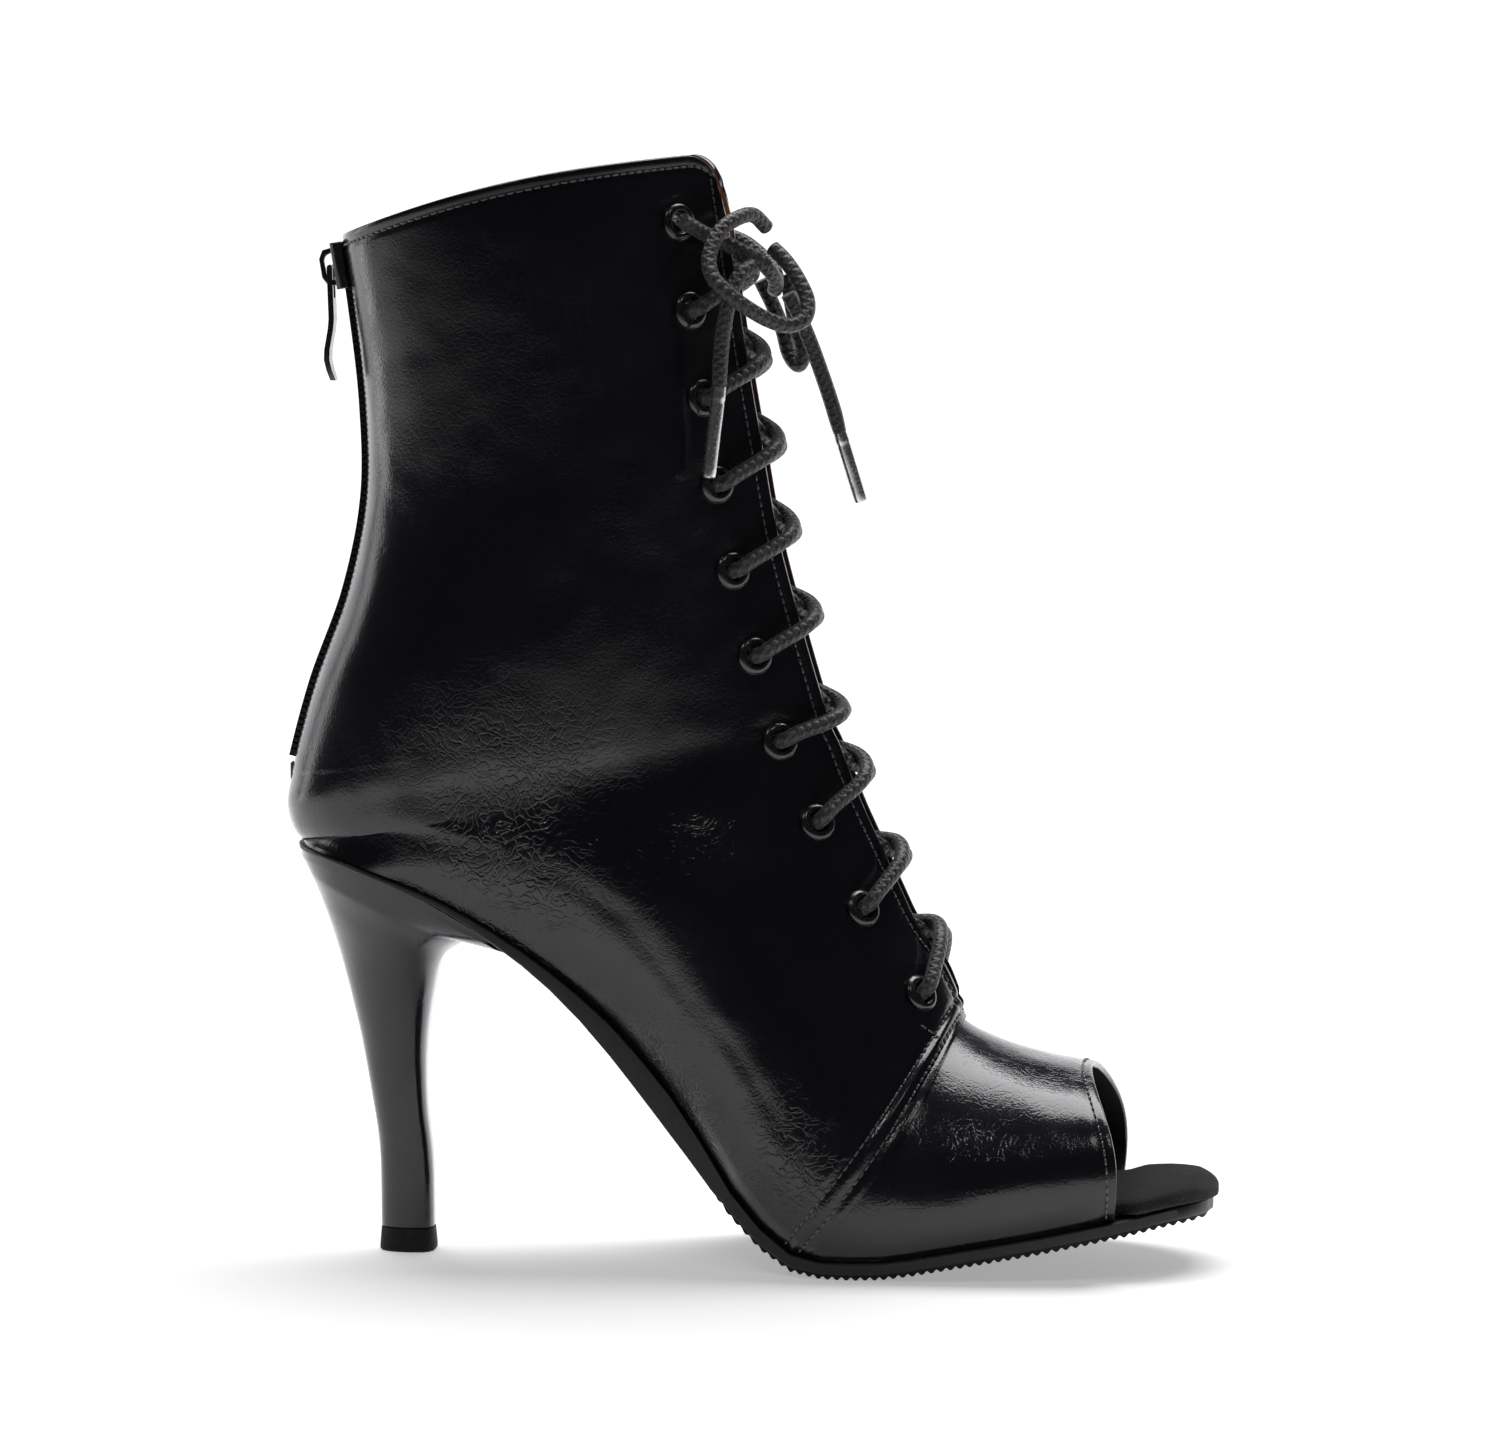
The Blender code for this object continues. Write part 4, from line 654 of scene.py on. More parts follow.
def skin(side):
    """Outer face, wall's inner face and normals of one side on the grid, with all relief.

    A fold adds height * exp(-(along^2 + round^2)), with along = (row - row0) / length and
    round = (turn - turn0 - slant * (row - row0)) / width.
    """
    base = surface(ROW, TURN, side).reshape(shape3)
    normal = facing(ROW, TURN, side).reshape(shape3)
    inner = base - WALL * normal
    outer = base + overlap(ROW, TURN)[..., None] * normal
    reach = np.cumsum(np.linalg.norm(np.diff(outer[:, ::-1], axis=1), axis=2), axis=1)
    front = np.concatenate([np.zeros((len(levels), 1)), reach], axis=1)[:, ::-1]
    drop = np.linalg.norm(np.diff(outer, axis=0), axis=2)
    top = np.concatenate([np.zeros((1, len(turning))), np.cumsum(drop, axis=0)])
    relief = np.zeros(ROW.shape)
    for row0, turn0, long, wide, height, slant in FOLDS:
        bend = (ROW - row0) / long
        round_it = (TURN - turn0 - slant * (ROW - row0) * side) / wide
        relief += height * MM * np.exp(-(bend**2) - round_it**2)
    on_flap = (ROW <= THROAT_FOOT_ROW) & (ROW > 0.02)
    for distance, where in ((front, on_flap), (top, ROW < 6)):
        relief += where * (swell(distance, EDGE_ROW, 0.75, -0.32) + swell(distance, 1.0, 0.7, 0.16))
    before = top[np.searchsorted(levels, SEAM_ROW) - 1][None] - top
    seam = sum(swell(before, back, 0.85, -0.42) for back in SEAM_ROWS)
    seam = seam + swell(before, 5.0, 1.2, 0.38) + swell(before, 1.5, 0.8, 0.22)
    relief += (ROW < SEAM_ROW) * seam
    to_peep = top[-1:] - top
    relief += (ROW > SEAM_ROW) * (swell(to_peep, TOE_ROW, 0.7, -0.26) + swell(to_peep, 0.8, 0.6, 0.14))
    for point, out in holes:
        away = np.linalg.norm(outer - point, axis=2)
        beside = (outer - point) @ np.cross(out, (0, 0, 1))
        pleats = 0.5 + 0.5 * np.cos(9 * np.arctan2(outer[..., 2] - point[2], beside))
        dish = 0.30 * MM * np.exp(-((away / (5.2 * MM)) ** 4))
        relief -= dish + pleats * swell(away, 5.4, 1.3, 0.16)
    outer = outer + relief[..., None] * normal
    inward = np.clip(1 - front / COLLAR_CORNER, 0, 1)
    sink = COLLAR_CORNER * (1 - np.sqrt(1 - inward**2)) * np.clip(1 - ROW / 0.85, 0, 1) ** 2
    outer[..., 2] -= sink
    inner[..., 2] -= sink
    standing = levels >= SEAT_ROW
    for grid, lift in ((outer, 0.05 * MM), (inner, FEATHER_GAP)):
        grid[standing, 0, 2] = sole_top(grid[standing, 0, 0]) + lift
        floor = sole_top(grid[standing, 1:, 0].ravel()).reshape(standing.sum(), -1) + lift
        grid[standing, 1:, 2] = np.maximum(grid[standing, 1:, 2], floor)
    return outer, inner, normal, front, top, before


def open_faces(points, quads):
    """The quads whose middle is not inside an eyelet's opening."""
    middle = points[quads].mean(axis=1)
    keep = np.ones(len(quads), bool)
    for point, out in holes:
        offset = middle - point
        flat = offset - (offset @ out)[:, None] * out
        near = (np.linalg.norm(flat, axis=1) < EYELET_CUT) & (np.abs(offset @ out) < 5 * MM)
        keep &= ~near
    return quads[keep]


def rim(outer_line, inner_line, ahead, proud=0.35 * MM):
    """A turned edge: half an oval from the outer line to the inner one, bulging ahead."""
    turn = np.linspace(0, math.pi, 8)[None, :, None]
    middle = (outer_line + inner_line)[:, None] / 2
    half = (outer_line - inner_line)[:, None] / 2
    return middle + half * np.cos(turn) + proud * np.sin(turn) * ahead[:, None]


patent, tree, node = shader(
    "patent", (0.0046, 0.0046, 0.0062), 0.34, coat=1.0, coat_rough=0.07, specular=0.12,
)
node.inputs["Coat Tint"].default_value = (0.93, 0.93, 1.0, 1)
place = add(tree, "ShaderNodeTexCoord")
bend_it = textured(tree, "ShaderNodeTexNoise", Scale=90.0, Detail=2.0, Roughness=0.6)
moved = add(tree, "ShaderNodeMixRGB", blend_type="LINEAR_LIGHT")
moved.inputs["Fac"].default_value = 0.010
tree.links.new(place.outputs["Object"], moved.inputs["Color1"])
tree.links.new(bend_it.outputs["Color"], moved.inputs["Color2"])
crackle = add(tree, "ShaderNodeTexVoronoi", feature="DISTANCE_TO_EDGE", Scale=420.0, Randomness=1.0)
tree.links.new(moved.outputs["Color"], crackle.inputs["Vector"])
cracks = ramp(tree, crackle.outputs["Distance"], (0.0, 0.0), (0.10, 0.85), (0.35, 1.0))
region = noise(tree, 26.0, 2.0, 0.55)
wear = add(tree, "ShaderNodeAttribute")
wear.attribute_name = "wear"
patches = ramp(tree, region, (0.40, 0.25), (0.58, 1.0))
worn = calc(tree, "MULTIPLY", cracks, calc(tree, "MULTIPLY", wear.outputs["Fac"], patches))
grain = noise(tree, 1500.0, 2.0, 0.65)
waves = noise(tree, 70.0, 1.0, 0.5)
bump(
    tree, node, [
        (waves, 0.0016, 0.30),
        (worn, 0.0002, 0.6),
        (grain, 0.00009, 0.6),
    ],
)
ramp_to(tree, node, "Roughness", region, (0.35, 0.26), (0.65, 0.40))
tree.links.new(node.inputs["Normal"].links[0].from_socket, node.inputs["Coat Normal"])

lining, tree, node = shader("lining", (0.16, 0.055, 0.028), 0.6)
place = add(tree, "ShaderNodeTexCoord")
pores = noise(tree, 900.0, 6.0, 0.6)
heights = add(tree, "ShaderNodeSeparateXYZ")
tree.links.new(place.outputs["Object"], heights.inputs[0])
# Painted shade: the lining's tan darkens to brown and then to near black lower down the shaft, where shade
# falls inside the boot.
shade_by_height = ramp(
    tree, heights.outputs["Z"], (0.05, (0.008, 0.006, 0.006)), (0.11, (0.06, 0.020, 0.012)),
    (0.21, (0.14, 0.045, 0.024)), (0.245, (0.42, 0.20, 0.085)),
)
toned = add(tree, "ShaderNodeMixRGB", blend_type="MULTIPLY")
toned.inputs["Fac"].default_value = 1.0
tree.links.new(shade_by_height, toned.inputs["Color1"])
tree.links.new(ramp(tree, pores, (0.3, 0.55), (0.7, 1.0)), toned.inputs["Color2"])
tree.links.new(toned.outputs["Color"], node.inputs["Base Color"])
bump(tree, node, [(pores, 0.0002, 0.5)])

skins = {side: skin(side) for side in (-1, 1)}
points, faces, count = [], [], 0
inside_points, inside_faces = [], []
for side, (outer, inner, normal, front, top, before) in skins.items():
    quads = grid_faces(*ROW.shape)
    if side > 0:
        quads = quads[:, ::-1]
    flat = outer.reshape(-1, 3)
    faces += (open_faces(flat, quads) + count).tolist()
    points.append(flat)
    lining_quads = open_faces(inner.reshape(-1, 3), quads[:, ::-1])
    inside_faces += (lining_quads + len(inside_points) * flat.shape[0]).tolist()
    inside_points.append(inner.reshape(-1, 3))
    count += len(flat)
    flap, slot = levels <= THROAT_FOOT_ROW, levels <= ZIP_FOOT_ROW
    edges = [
        (outer[0], inner[0], outer[0] - outer[1]),
        (outer[-1], inner[-1], outer[-1] - outer[-2]),
        (outer[flap, -1], inner[flap, -1], outer[flap, -1] - outer[flap, -3]),
        (outer[slot, 0], inner[slot, 0], outer[slot, 0] - outer[slot, 2]),
    ]
    for k, (out_line, in_line, ahead) in enumerate(edges):
        band = rim(out_line, in_line, unit(ahead))
        quads = grid_faces(len(band), 8)
        # On each side two of the four bands run round the other way, so their quads are turned.
        if (side > 0) == (k in (1, 2)):
            quads = quads[:, ::-1]
        faces += (quads + count).tolist()
        points.append(band.reshape(-1, 3))
        count += band.shape[0] * 8
upper = add_mesh("upper_skin", np.concatenate(points), faces, patent, 50)
# Where the coating has creased: x and z of the middle, the two half widths in mm, and how strongly.
CREASED = (
    (36, 108, 30, 20, 1.0), (22, 96, 22, 9, 0.7), (47, 99, 17, 13, 0.7), (31, 72, 15, 9, 0.7),
    (50, 54, 13, 10, 0.7), (66, 34, 9, 12, 0.7), (94, 30, 10, 14, 0.8), (150, 46, 18, 6, 0.8),
    (138, 32, 9, 9, 0.4),
)
spot = np.concatenate(points) / MM
wear = np.full(len(spot), 0.10)
for x, z, wide, tall, much in CREASED:
    wear += much * np.exp(-(((spot[:, 0] - x) / wide) ** 2) - ((spot[:, 2] - z) / tall) ** 2)
upper.data.attributes.new("wear", "FLOAT", "POINT").data.foreach_set("value", np.clip(wear, 0, 1))
welder = bmesh.new()
welder.from_mesh(upper.data)
bmesh.ops.remove_doubles(welder, verts=welder.verts, dist=0.02 * MM)
bmesh.ops.recalc_face_normals(welder, faces=welder.faces)
welder.to_mesh(upper.data)
welder.free()
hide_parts("upper")
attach(upper, "boot")
inside = add_mesh("upper_lining", np.concatenate(inside_points), inside_faces, lining, 60)
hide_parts("upper")
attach(inside, "boot")

# Stitches: black thread, about twelve to the inch, sewn through leather and lining along collar, flaps and
# open toe, in two rows over the seam and across each flap's foot. Each is a short raised capsule whose ends
# dip into the leather.
PITCH, STITCH, THREAD = 2.1 * MM, 1.55 * MM, 0.27 * MM


def level_line(grid, normal, distance, at, axis):
    """Where a distance over the grid reaches a value, along one axis: points and normals."""
    lines, ways = [], []
    count = grid.shape[1 - axis]
    for k in range(count):
        pick = (slice(None), k) if axis == 0 else (k, slice(None))
        d, p, n = distance[pick], grid[pick], normal[pick]
        order = np.argsort(d)
        if d.max() < at or d.min() > at:
            continue
        lines.append(at_length(at, d[order], p[order]))
        ways.append(at_length(at, d[order], n[order]))
    return np.array(lines), np.array(ways)


def stitches(line, ways, lift=0.2 * MM):
    """Paths of stitches a pitch apart along a line: five points each, raised, with both ends dipping in."""
    length = lengths(line)
    found = []
    for start in np.arange(0.4 * MM, length[-1] - STITCH, PITCH):
        at = start + STITCH * np.array([0, 0.15, 0.5, 0.85, 1])
        rise = np.array([-0.12, 0.02, 0.10, 0.02, -0.12])[:, None] * MM + lift
        found.append(at_length(at, length, line) + at_length(at, length, ways) * rise)
    return found


thread, tree, node = shader("thread", (0.04, 0.04, 0.044), 0.35, coat=0.8, coat_rough=0.15)
fibre = noise(tree, 4000.0, 2.0)
ramp_to(
    tree, node, "Base Color", fibre, (0.3, (0.02, 0.02, 0.022)), (0.7, (0.09, 0.09, 0.098)),
)
paths = []
for side, (outer, inner, normal, front, top, before) in skins.items():
    flap = levels <= 15.6
    line, ways = level_line(outer[flap], normal[flap], front[flap], EDGE_ROW * MM, 1)
    under = line[:, 2] < line[0, 2] - 2.0 * MM
    paths += stitches(line[under], ways[under])
    collar = levels < 3
    line, ways = level_line(outer[collar], normal[collar], top[collar], EDGE_ROW * MM, 0)
    off_edge = front[0, : len(line)] > 2.8 * MM
    paths += stitches(line[off_edge], ways[off_edge])
    quarter = (levels > 13) & (levels < SEAM_ROW)
    for back in SEAM_ROWS:
        line, ways = level_line(outer[quarter], normal[quarter], before[quarter], back * MM, 0)
        high = len(line) - int(8 if back > 5 else 3)
        paths += stitches(line[1:high], ways[1:high])
    toe = levels > 17
    line, ways = level_line(outer[toe], normal[toe], (top[-1:] - top)[toe], TOE_ROW * MM, 0)
    paths += stitches(line[2:], ways[2:])
    # The short line that closes the foot of each flap, set out on the inner side and mirrored by row and
    # turn: x and z of its ends in mm
    corners = []
    for x, z in ((122.0, 57.0), (129.6, 52.6)):
        near_skin = skins[-1][0]
        miss = (near_skin[..., 0] - x * MM) ** 2 + (near_skin[..., 2] - z * MM) ** 2 + (ROW > 15.9) * 1.0
        corners.append(np.unravel_index(np.argmin(miss), miss.shape))
    first, last = (outer[corner] for corner in corners)
    half_way = tuple(np.round(np.mean(corners, axis=0)).astype(int))
    way = normal[half_way]
    arch = max(0.0, (outer[half_way] - (first + last) / 2) @ way)
    s = np.linspace(0, 1, 30)[:, None]
    line = first + s * (last - first) + 4 * s * (1 - s) * arch * way
    paths += stitches(line, np.repeat(way[None], 30, axis=0))
sewn = add_mesh("stitches", *tubes(paths, np.array([0.5, 0.9, 1, 0.9, 0.5]) * THREAD, 6)[:2], thread, 80)
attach(sewn, "boot")

# The lace between the flaps, in the bow's braid: out of each eyelet, over the flap's edge, across and
# behind the other flap. It runs through the eyelets, so each crossing starts and ends inside the shaft.
spots = {(side, number): (row, point, normal) for side, number, row, _, point, normal in eyelet_places()}
for number in range(1, EYELET_COUNT):
    runs = []
    for side in (-1, 1):
        row, start, out = spots[side, number + 1]
        high_row, end, out_high = spots[-side, number]
        edge = surface(row + 0.32 * (high_row - row), math.pi, side)[0]
        far_edge = surface(row + 0.70 * (high_row - row), math.pi, -side)[0]
        middle = surface((row + high_row) / 2, math.pi, 1)[0] * NO_SIDE
        ahead = unit(facing((row + high_row) / 2, math.pi, side)[0] * NO_SIDE)
        cross = -side * 1.7 * MM * ahead
        towards = unit(edge - start)
        runs.append(route([
            start - 4.6 * MM * out - 1.2 * MM * towards,
            start - 0.6 * MM * out - 0.3 * MM * towards,
            start + 2.4 * MM * out + 1.0 * MM * towards,
            start + 3.3 * MM * out + 4.2 * MM * towards,
            edge + 2.9 * MM * ahead + np.array((0, side * 1.9 * MM, 0)),
            middle + 1.6 * MM * ahead + cross,
            far_edge - 3.2 * MM * ahead + np.array((0, side * 2.4 * MM, 0)),
            end - 5.2 * MM * out_high,
            end - 3.4 * MM * out_high,
        ], 160, 0.6 * MM))
    ring_points, faces, uv = tubes(runs, LACE / 2, 18)
    piece = add_mesh(f"crossing_{number}", ring_points, faces, braid, 60, uv)
    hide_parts(f"lace_cross_{number}")
    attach(piece, "boot")

# Eyelets: thin metal pressed through the leather and turned over at the back, under black enamel. Each
# has a domed flange outside, a barrel through the leather and a flat ring inside.
enamel, tree, node = shader("enamel", (0.008, 0.008, 0.009), 0.22, coat=0.6, coat_rough=0.08)
orange_peel = noise(tree, 700.0, 3.0)
bump(tree, node, [(orange_peel, 0.00006, 0.4)])
ramp_to(tree, node, "Roughness", orange_peel, (0.3, 0.16), (0.75, 0.34))
# The eyelet's section: distance from its middle, and height over the leather, in mm
profile = np.array((
    (2.45, -2.7), (2.38, -1.2), (2.36, 0.1), (2.42, 0.62), (2.62, 0.94), (2.95, 1.1), (3.4, 1.08),
    (3.85, 0.9), (4.2, 0.62), (4.38, 0.34), (4.42, 0.1), (4.35, -0.15), (4.0, -0.3), (3.2, -0.5),
    (3.05, -2.0), (3.9, -2.1), (4.1, -2.35), (3.9, -2.6), (3.2, -2.8), (2.7, -2.85),
)) * MM
angles = np.linspace(0, 2 * math.pi, 44, endpoint=False)
points, faces = [], []
for point, out in holes:
    turn = Vector((0, 0, 1)).rotation_difference(Vector(out)).to_matrix()
    local = np.stack(np.broadcast_arrays(
        profile[None, :, 0] * np.cos(angles)[:, None], profile[None, :, 0] * np.sin(angles)[:, None],
        profile[None, :, 1]), -1)
    ring = local.reshape(-1, 3) @ np.array(turn).T + point
    i, j = np.meshgrid(np.arange(len(angles)), np.arange(len(profile)), indexing="ij")
    i2, j2 = (i + 1) % len(angles), (j + 1) % len(profile)
    n = len(profile)
    quads = np.stack([i * n + j, i2 * n + j, i2 * n + j2, i * n + j2], -1).reshape(-1, 4)[:, ::-1]
    faces += (quads + len(points) * len(ring)).tolist()
    points.append(ring)
eyelets = add_mesh("eyelets", np.concatenate(points), faces, enamel, 50)
numbers = range(1, EYELET_COUNT + 1)
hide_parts(*(f"eyelet_{which}_{k:02d}" for which in ("inner", "outer") for k in numbers))
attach(eyelets, "boot")

# The outsole: one leather sole from the heel seat to the open toe, thickest in the arch, its edge dressed
# smooth and black. A thin ribbed rubber tread is glued under the forefoot.
TREAD_DEPTH, TREAD_INSET, TREAD_START = 1.1 * MM, 0.7 * MM, 100 * MM
RIB = 2.2 * MM


def lines_along(xs, ring):
    """Points of a loft along x: ring holds y and z of each of its lines, as arrays over xs."""
    return np.stack([np.stack([xs, y, z], 1) for y, z in ring], 1).reshape(-1, 3)


def closed_loft(rings, around):
    """Faces of a row of closed rings with both ends filled."""
    faces = grid_faces(rings, around, True).tolist()
    return faces + [list(range(around))[::-1], list(range((rings - 1) * around, rings * around))]


dressed, tree, node = shader(
    "edge_dressing", (0.006, 0.006, 0.007), 0.45, coat=0.12, coat_rough=0.3, specular=0.3,
)
specks = noise(tree, 1100.0, 5.0, 0.6)
bump(tree, node, [(specks, 0.00012, 0.45)])
ramp_to(tree, node, "Roughness", specks, (0.3, 0.34), (0.7, 0.55))
band_x, band_inner, band_outer = outline(0)
xs = np.unique(np.concatenate([STATIONS, np.linspace(STATIONS[0], STATIONS[-1], 190)]))
lo_y, hi_y = np.interp(xs, band_x, band_inner), np.interp(xs, band_x, band_outer)
high, low = sole_top(xs), sole_under(xs)
low = low + TREAD_DEPTH * np.clip((along(xs) * SOLE_LENGTH - TREAD_START) / (2 * MM), 0.02, 1)
corner = np.minimum(0.7 * MM, 0.3 * (high - low))
bend = np.array([0, 0.29, 0.71, 1.0])
rings = []
for y_edge, sign in ((lo_y, 1), (hi_y, -1)):
    line = [(y_edge + sign * 2.2 * MM, high), (y_edge + sign * 0.35 * MM, high), (y_edge, high - 0.35 * MM)]
    line += [(y_edge + sign * corner * (1 - np.sqrt(1 - b**2)), low + corner * (1 - b)) for b in bend]
    line += [(y_edge + sign * 6 * MM * np.clip((hi_y - lo_y) / (20 * MM), 0, 1), low)]
    rings.append(line)
ring = rings[0] + rings[1][::-1]
band = add_mesh("sole_band", lines_along(xs, ring), closed_loft(len(xs), len(ring)), dressed, 35)
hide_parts("outsole")
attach(band, "boot")
start_x, end_x = TREAD_START - SEAT_OVERHANG, SOLE_LENGTH - SEAT_OVERHANG - 1.0 * MM
xs = np.arange(start_x, end_x, RIB / 6)
tread_x, tread_inner, tread_outer = outline(TREAD_INSET)
saw = np.abs(((xs - start_x) / RIB) % 1 - 0.5) * 2
low = sole_under(xs) + 0.75 * MM * np.clip(saw * 1.5 - 0.35, 0, 1)
high = sole_under(xs) + TREAD_DEPTH + 0.1 * MM
lo_y, hi_y = np.interp(xs, tread_x, tread_inner), np.interp(xs, tread_x, tread_outer)
inset = np.minimum(0.12 * (hi_y - lo_y), 2.5 * MM)
ring = [(lo_y, high), (lo_y, low), (lo_y + inset, low), (hi_y - inset, low), (hi_y, low), (hi_y, high)]
rubber, tree, node = shader("tread_rubber", (0.006, 0.006, 0.006), 0.65, specular=0.25)
dust = noise(tree, 800.0, 6.0)
bump(tree, node, [(dust, 0.0002, 0.5)])
ramp_to(
    tree, node, "Base Color", dust,
    (0.3, (0.004, 0.004, 0.004)), (0.75, (0.012, 0.012, 0.012)),
)
faces = grid_faces(len(xs), len(ring), True).tolist()
tread = add_mesh("sole_tread", lines_along(xs, ring), faces, rubber, 25)
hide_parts("outsole")
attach(tread, "boot")

# The insole: padding under black suede, glued to the outsole inside the upper and bare at the open toe.
# Its edge is soft and rounded, and a fine glitter shows where the nap stands up.
INSOLE_THICKNESS, INSOLE_DOME, TOE_OVERHANG, INSOLE_FIT = 3.8 * MM, 0.6 * MM, 1.2 * MM, 1.7 * MM
inside_x, inside_inner, inside_outer = outline(WELT + WALL + INSOLE_FIT)
toe_x, toe_inner, toe_outer = outline(-TOE_OVERHANG)
peep_x = section_ends(np.array([len(SECTIONS) - 1.0]))[0][0, 0]
span = np.linspace(0, 1, 170)
crowded = 0.35 * span + 0.65 * (1 - np.cos(math.pi * span)) / 2
xs = inside_x[0] + 0.3 * MM + (toe_x[-1] - 0.1 * MM - inside_x[0] - 0.3 * MM) * crowded
free = np.clip((xs - peep_x - 1.5 * MM) / (4 * MM), 0, 1)
ends = []
for held, toe in ((inside_inner, toe_inner), (inside_outer, toe_outer)):
    first = np.interp(xs, inside_x, held)
    ends.append(first + free * (np.interp(xs, toe_x, toe) - first))
inner_y, outer_y = ends
middle_y, half_y = (inner_y + outer_y) / 2, np.maximum((outer_y - inner_y) / 2, 0.05 * MM)
floor = sole_top(xs) + GAP
angle = np.linspace(-math.pi, math.pi, 56, endpoint=False)[None, :]
# A flat round: across = cos(a)^0.16 and height = sin(a)^0.5 of half a thickness, fuller on top.
across = np.sign(np.cos(angle)) * np.abs(np.cos(angle)) ** 0.16
lift = np.sign(np.sin(angle)) * np.abs(np.sin(angle)) ** 0.5
tip = np.sqrt(np.clip((toe_x[-1] - xs) / (5 * MM), 0, 1))
thick = INSOLE_THICKNESS * np.minimum(1, 0.35 + 0.65 * tip)[:, None]
y = middle_y[:, None] + half_y[:, None] * across
z = floor[:, None] + thick * (0.5 + 0.5 * lift) + INSOLE_DOME * np.clip(lift, 0, 1) * (1 - across**2)
pad_points = np.stack(np.broadcast_arrays(xs[:, None], y, z), -1)
faces = closed_loft(len(xs), angle.shape[1])
suede, tree, node = shader("suede", (0.010, 0.010, 0.011), 0.98, sheen=0.08, specular=0.15)
nap = noise(tree, 1900.0, 5.0, 0.75)
clouds = noise(tree, 60.0, 4.0)
blended = calc(tree, "MULTIPLY_ADD", clouds, 0.45, nap)
ramp_to(
    tree, node, "Base Color", blended,
    (0.5, (0.006, 0.006, 0.007)), (0.75, (0.016, 0.016, 0.018)), (0.93, (0.05, 0.05, 0.055)),
)
bump(tree, node, [(nap, 0.0005, 0.7)])
insole = add_mesh("insole_pad", pad_points.reshape(-1, 3), faces, suede, 60)
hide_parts("insole")
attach(insole, "boot")

# The heel: a slim column under a cup that fits the heel seat, covered in the upper's leather and fixed
# through the seat. A black rubber top piece is pinned under its foot.
HEEL_SEAT_WIDTH, HEEL_FRONT, HEEL_LIP = 52 * MM, 27 * MM, 1.6 * MM
HEEL_FOOT_LENGTH, HEEL_FOOT_WIDTH = 12.6 * MM, 11.6 * MM
TOP_PIECE_HEIGHT, TOP_PIECE_FLARE = 5.6 * MM, 0.35 * MM
HEEL_POINTS = 26  # round the back of each half section
# The covered heel, from its foot to the seat: back and front as shares of the foot's length and the
# height between foot and seat, half width as shares of the foot's and the seat's width
HEEL = (
    # back, back height, front, front height, foot, seat width
    (-0.500, 0.000, 0.500, 0.000, 0.50, 0.000),
    (-0.530, 0.201, 0.475, 0.175, 0.50, 0.010),
    (-0.690, 0.356, 0.375, 0.319, 0.50, 0.025),
    (-0.900, 0.516, 0.375, 0.462, 0.48, 0.070),
    (-1.250, 0.713, 0.500, 0.601, 0.36, 0.170),
    (-1.590, 0.857, 0.720, 0.707, 0.20, 0.310),
    (-1.820, 0.931, 1.200, 0.757, 0.08, 0.420),
)


def heel_ring(back, front, half, points):
    """A round-backed section with a nearly flat front, from (x, z) at its back to (x, z) at its front.

    Up to 0.62 of its length the half width is half * sin(a)^0.9 at a share of 0.62 * (1 - cos(a)).
    """
    turn = np.linspace(0, 1, points) * math.pi * 0.5
    share = np.concatenate([0.62 * (1 - np.cos(turn)), (0.82, 0.93, 1.0)])
    width = half * np.concatenate([np.sin(turn) ** 0.9, (0.97, 0.80, 0.42)])
    t = np.concatenate([share, share[:0:-1]])
    y = np.concatenate([-width, width[:0:-1]])
    return np.stack([back[0] + t * (front[0] - back[0]), y, back[1] + t * (front[1] - back[1])], 1)


def face_outward(mesh):
    """Turns every face of a closed mesh outward."""
    fix = bmesh.new()
    fix.from_mesh(mesh)
    bmesh.ops.recalc_face_normals(fix, faces=fix.faces)
    fix.to_mesh(mesh)
    fix.free()


rings = []
numbered = [(i, *columns) for i, columns in enumerate(HEEL)]
for row in np.linspace(0, len(HEEL) - 1, 60):
    back_x, back_z, front_x, front_z, foot, seat = smooth(numbered, row)[0]
    half = foot * HEEL_FOOT_WIDTH + seat * HEEL_SEAT_WIDTH
    foot_z = TOP_PIECE_HEIGHT + GAP
    back = (back_x * HEEL_FOOT_LENGTH, foot_z + back_z * (SEAT_HEIGHT - foot_z))
    front = (front_x * HEEL_FOOT_LENGTH, foot_z + front_z * (SEAT_HEIGHT - foot_z))
    rings.append(heel_ring(back, front, half, HEEL_POINTS))
edge_x, _, edge_outer = outline(WELT / 2)
x, y, _ = heel_ring((edge_x[0], 0), (HEEL_FRONT, 0), HEEL_SEAT_WIDTH / 2, HEEL_POINTS).T
x = np.clip(x, edge_x[0], HEEL_FRONT)
y = np.copysign(np.minimum(np.abs(y), np.interp(x, edge_x, edge_outer)), y)
top = np.stack([x, y, sole_under(x) - GAP], 1)
lower = top * (1, 0.985, 1) - (0, 0, HEEL_LIP)
last = rings[-1]
rings = rings[:-1] + [last + (lower - last) * s for s in np.linspace(0, 1, 8)] + [top]
heel = add_mesh("heel_cover", np.concatenate(rings), closed_loft(len(rings), len(top)), patent, 50)
face_outward(heel.data)
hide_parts("heel")
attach(heel, "boot")
rings = []
# The top piece from the floor up: height, and how far it stands out past the heel's foot
for z, flare in (
    (0, TOP_PIECE_FLARE - 0.4 * MM), (0.4 * MM, TOP_PIECE_FLARE), (1.4 * MM, TOP_PIECE_FLARE),
    (5.1 * MM, 0.05 * MM), (5.5 * MM, 0), (5.75 * MM, -0.25 * MM),
):
    half, wide = HEEL_FOOT_LENGTH / 2 + flare, HEEL_FOOT_WIDTH / 2 + flare
    rings.append(heel_ring((-half, z), (half, z), wide, 20))
tip = add_mesh("heel_tip", np.concatenate(rings), closed_loft(len(rings), len(rings[0])), rubber, 35)
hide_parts("heel_top_piece")
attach(tip, "boot")

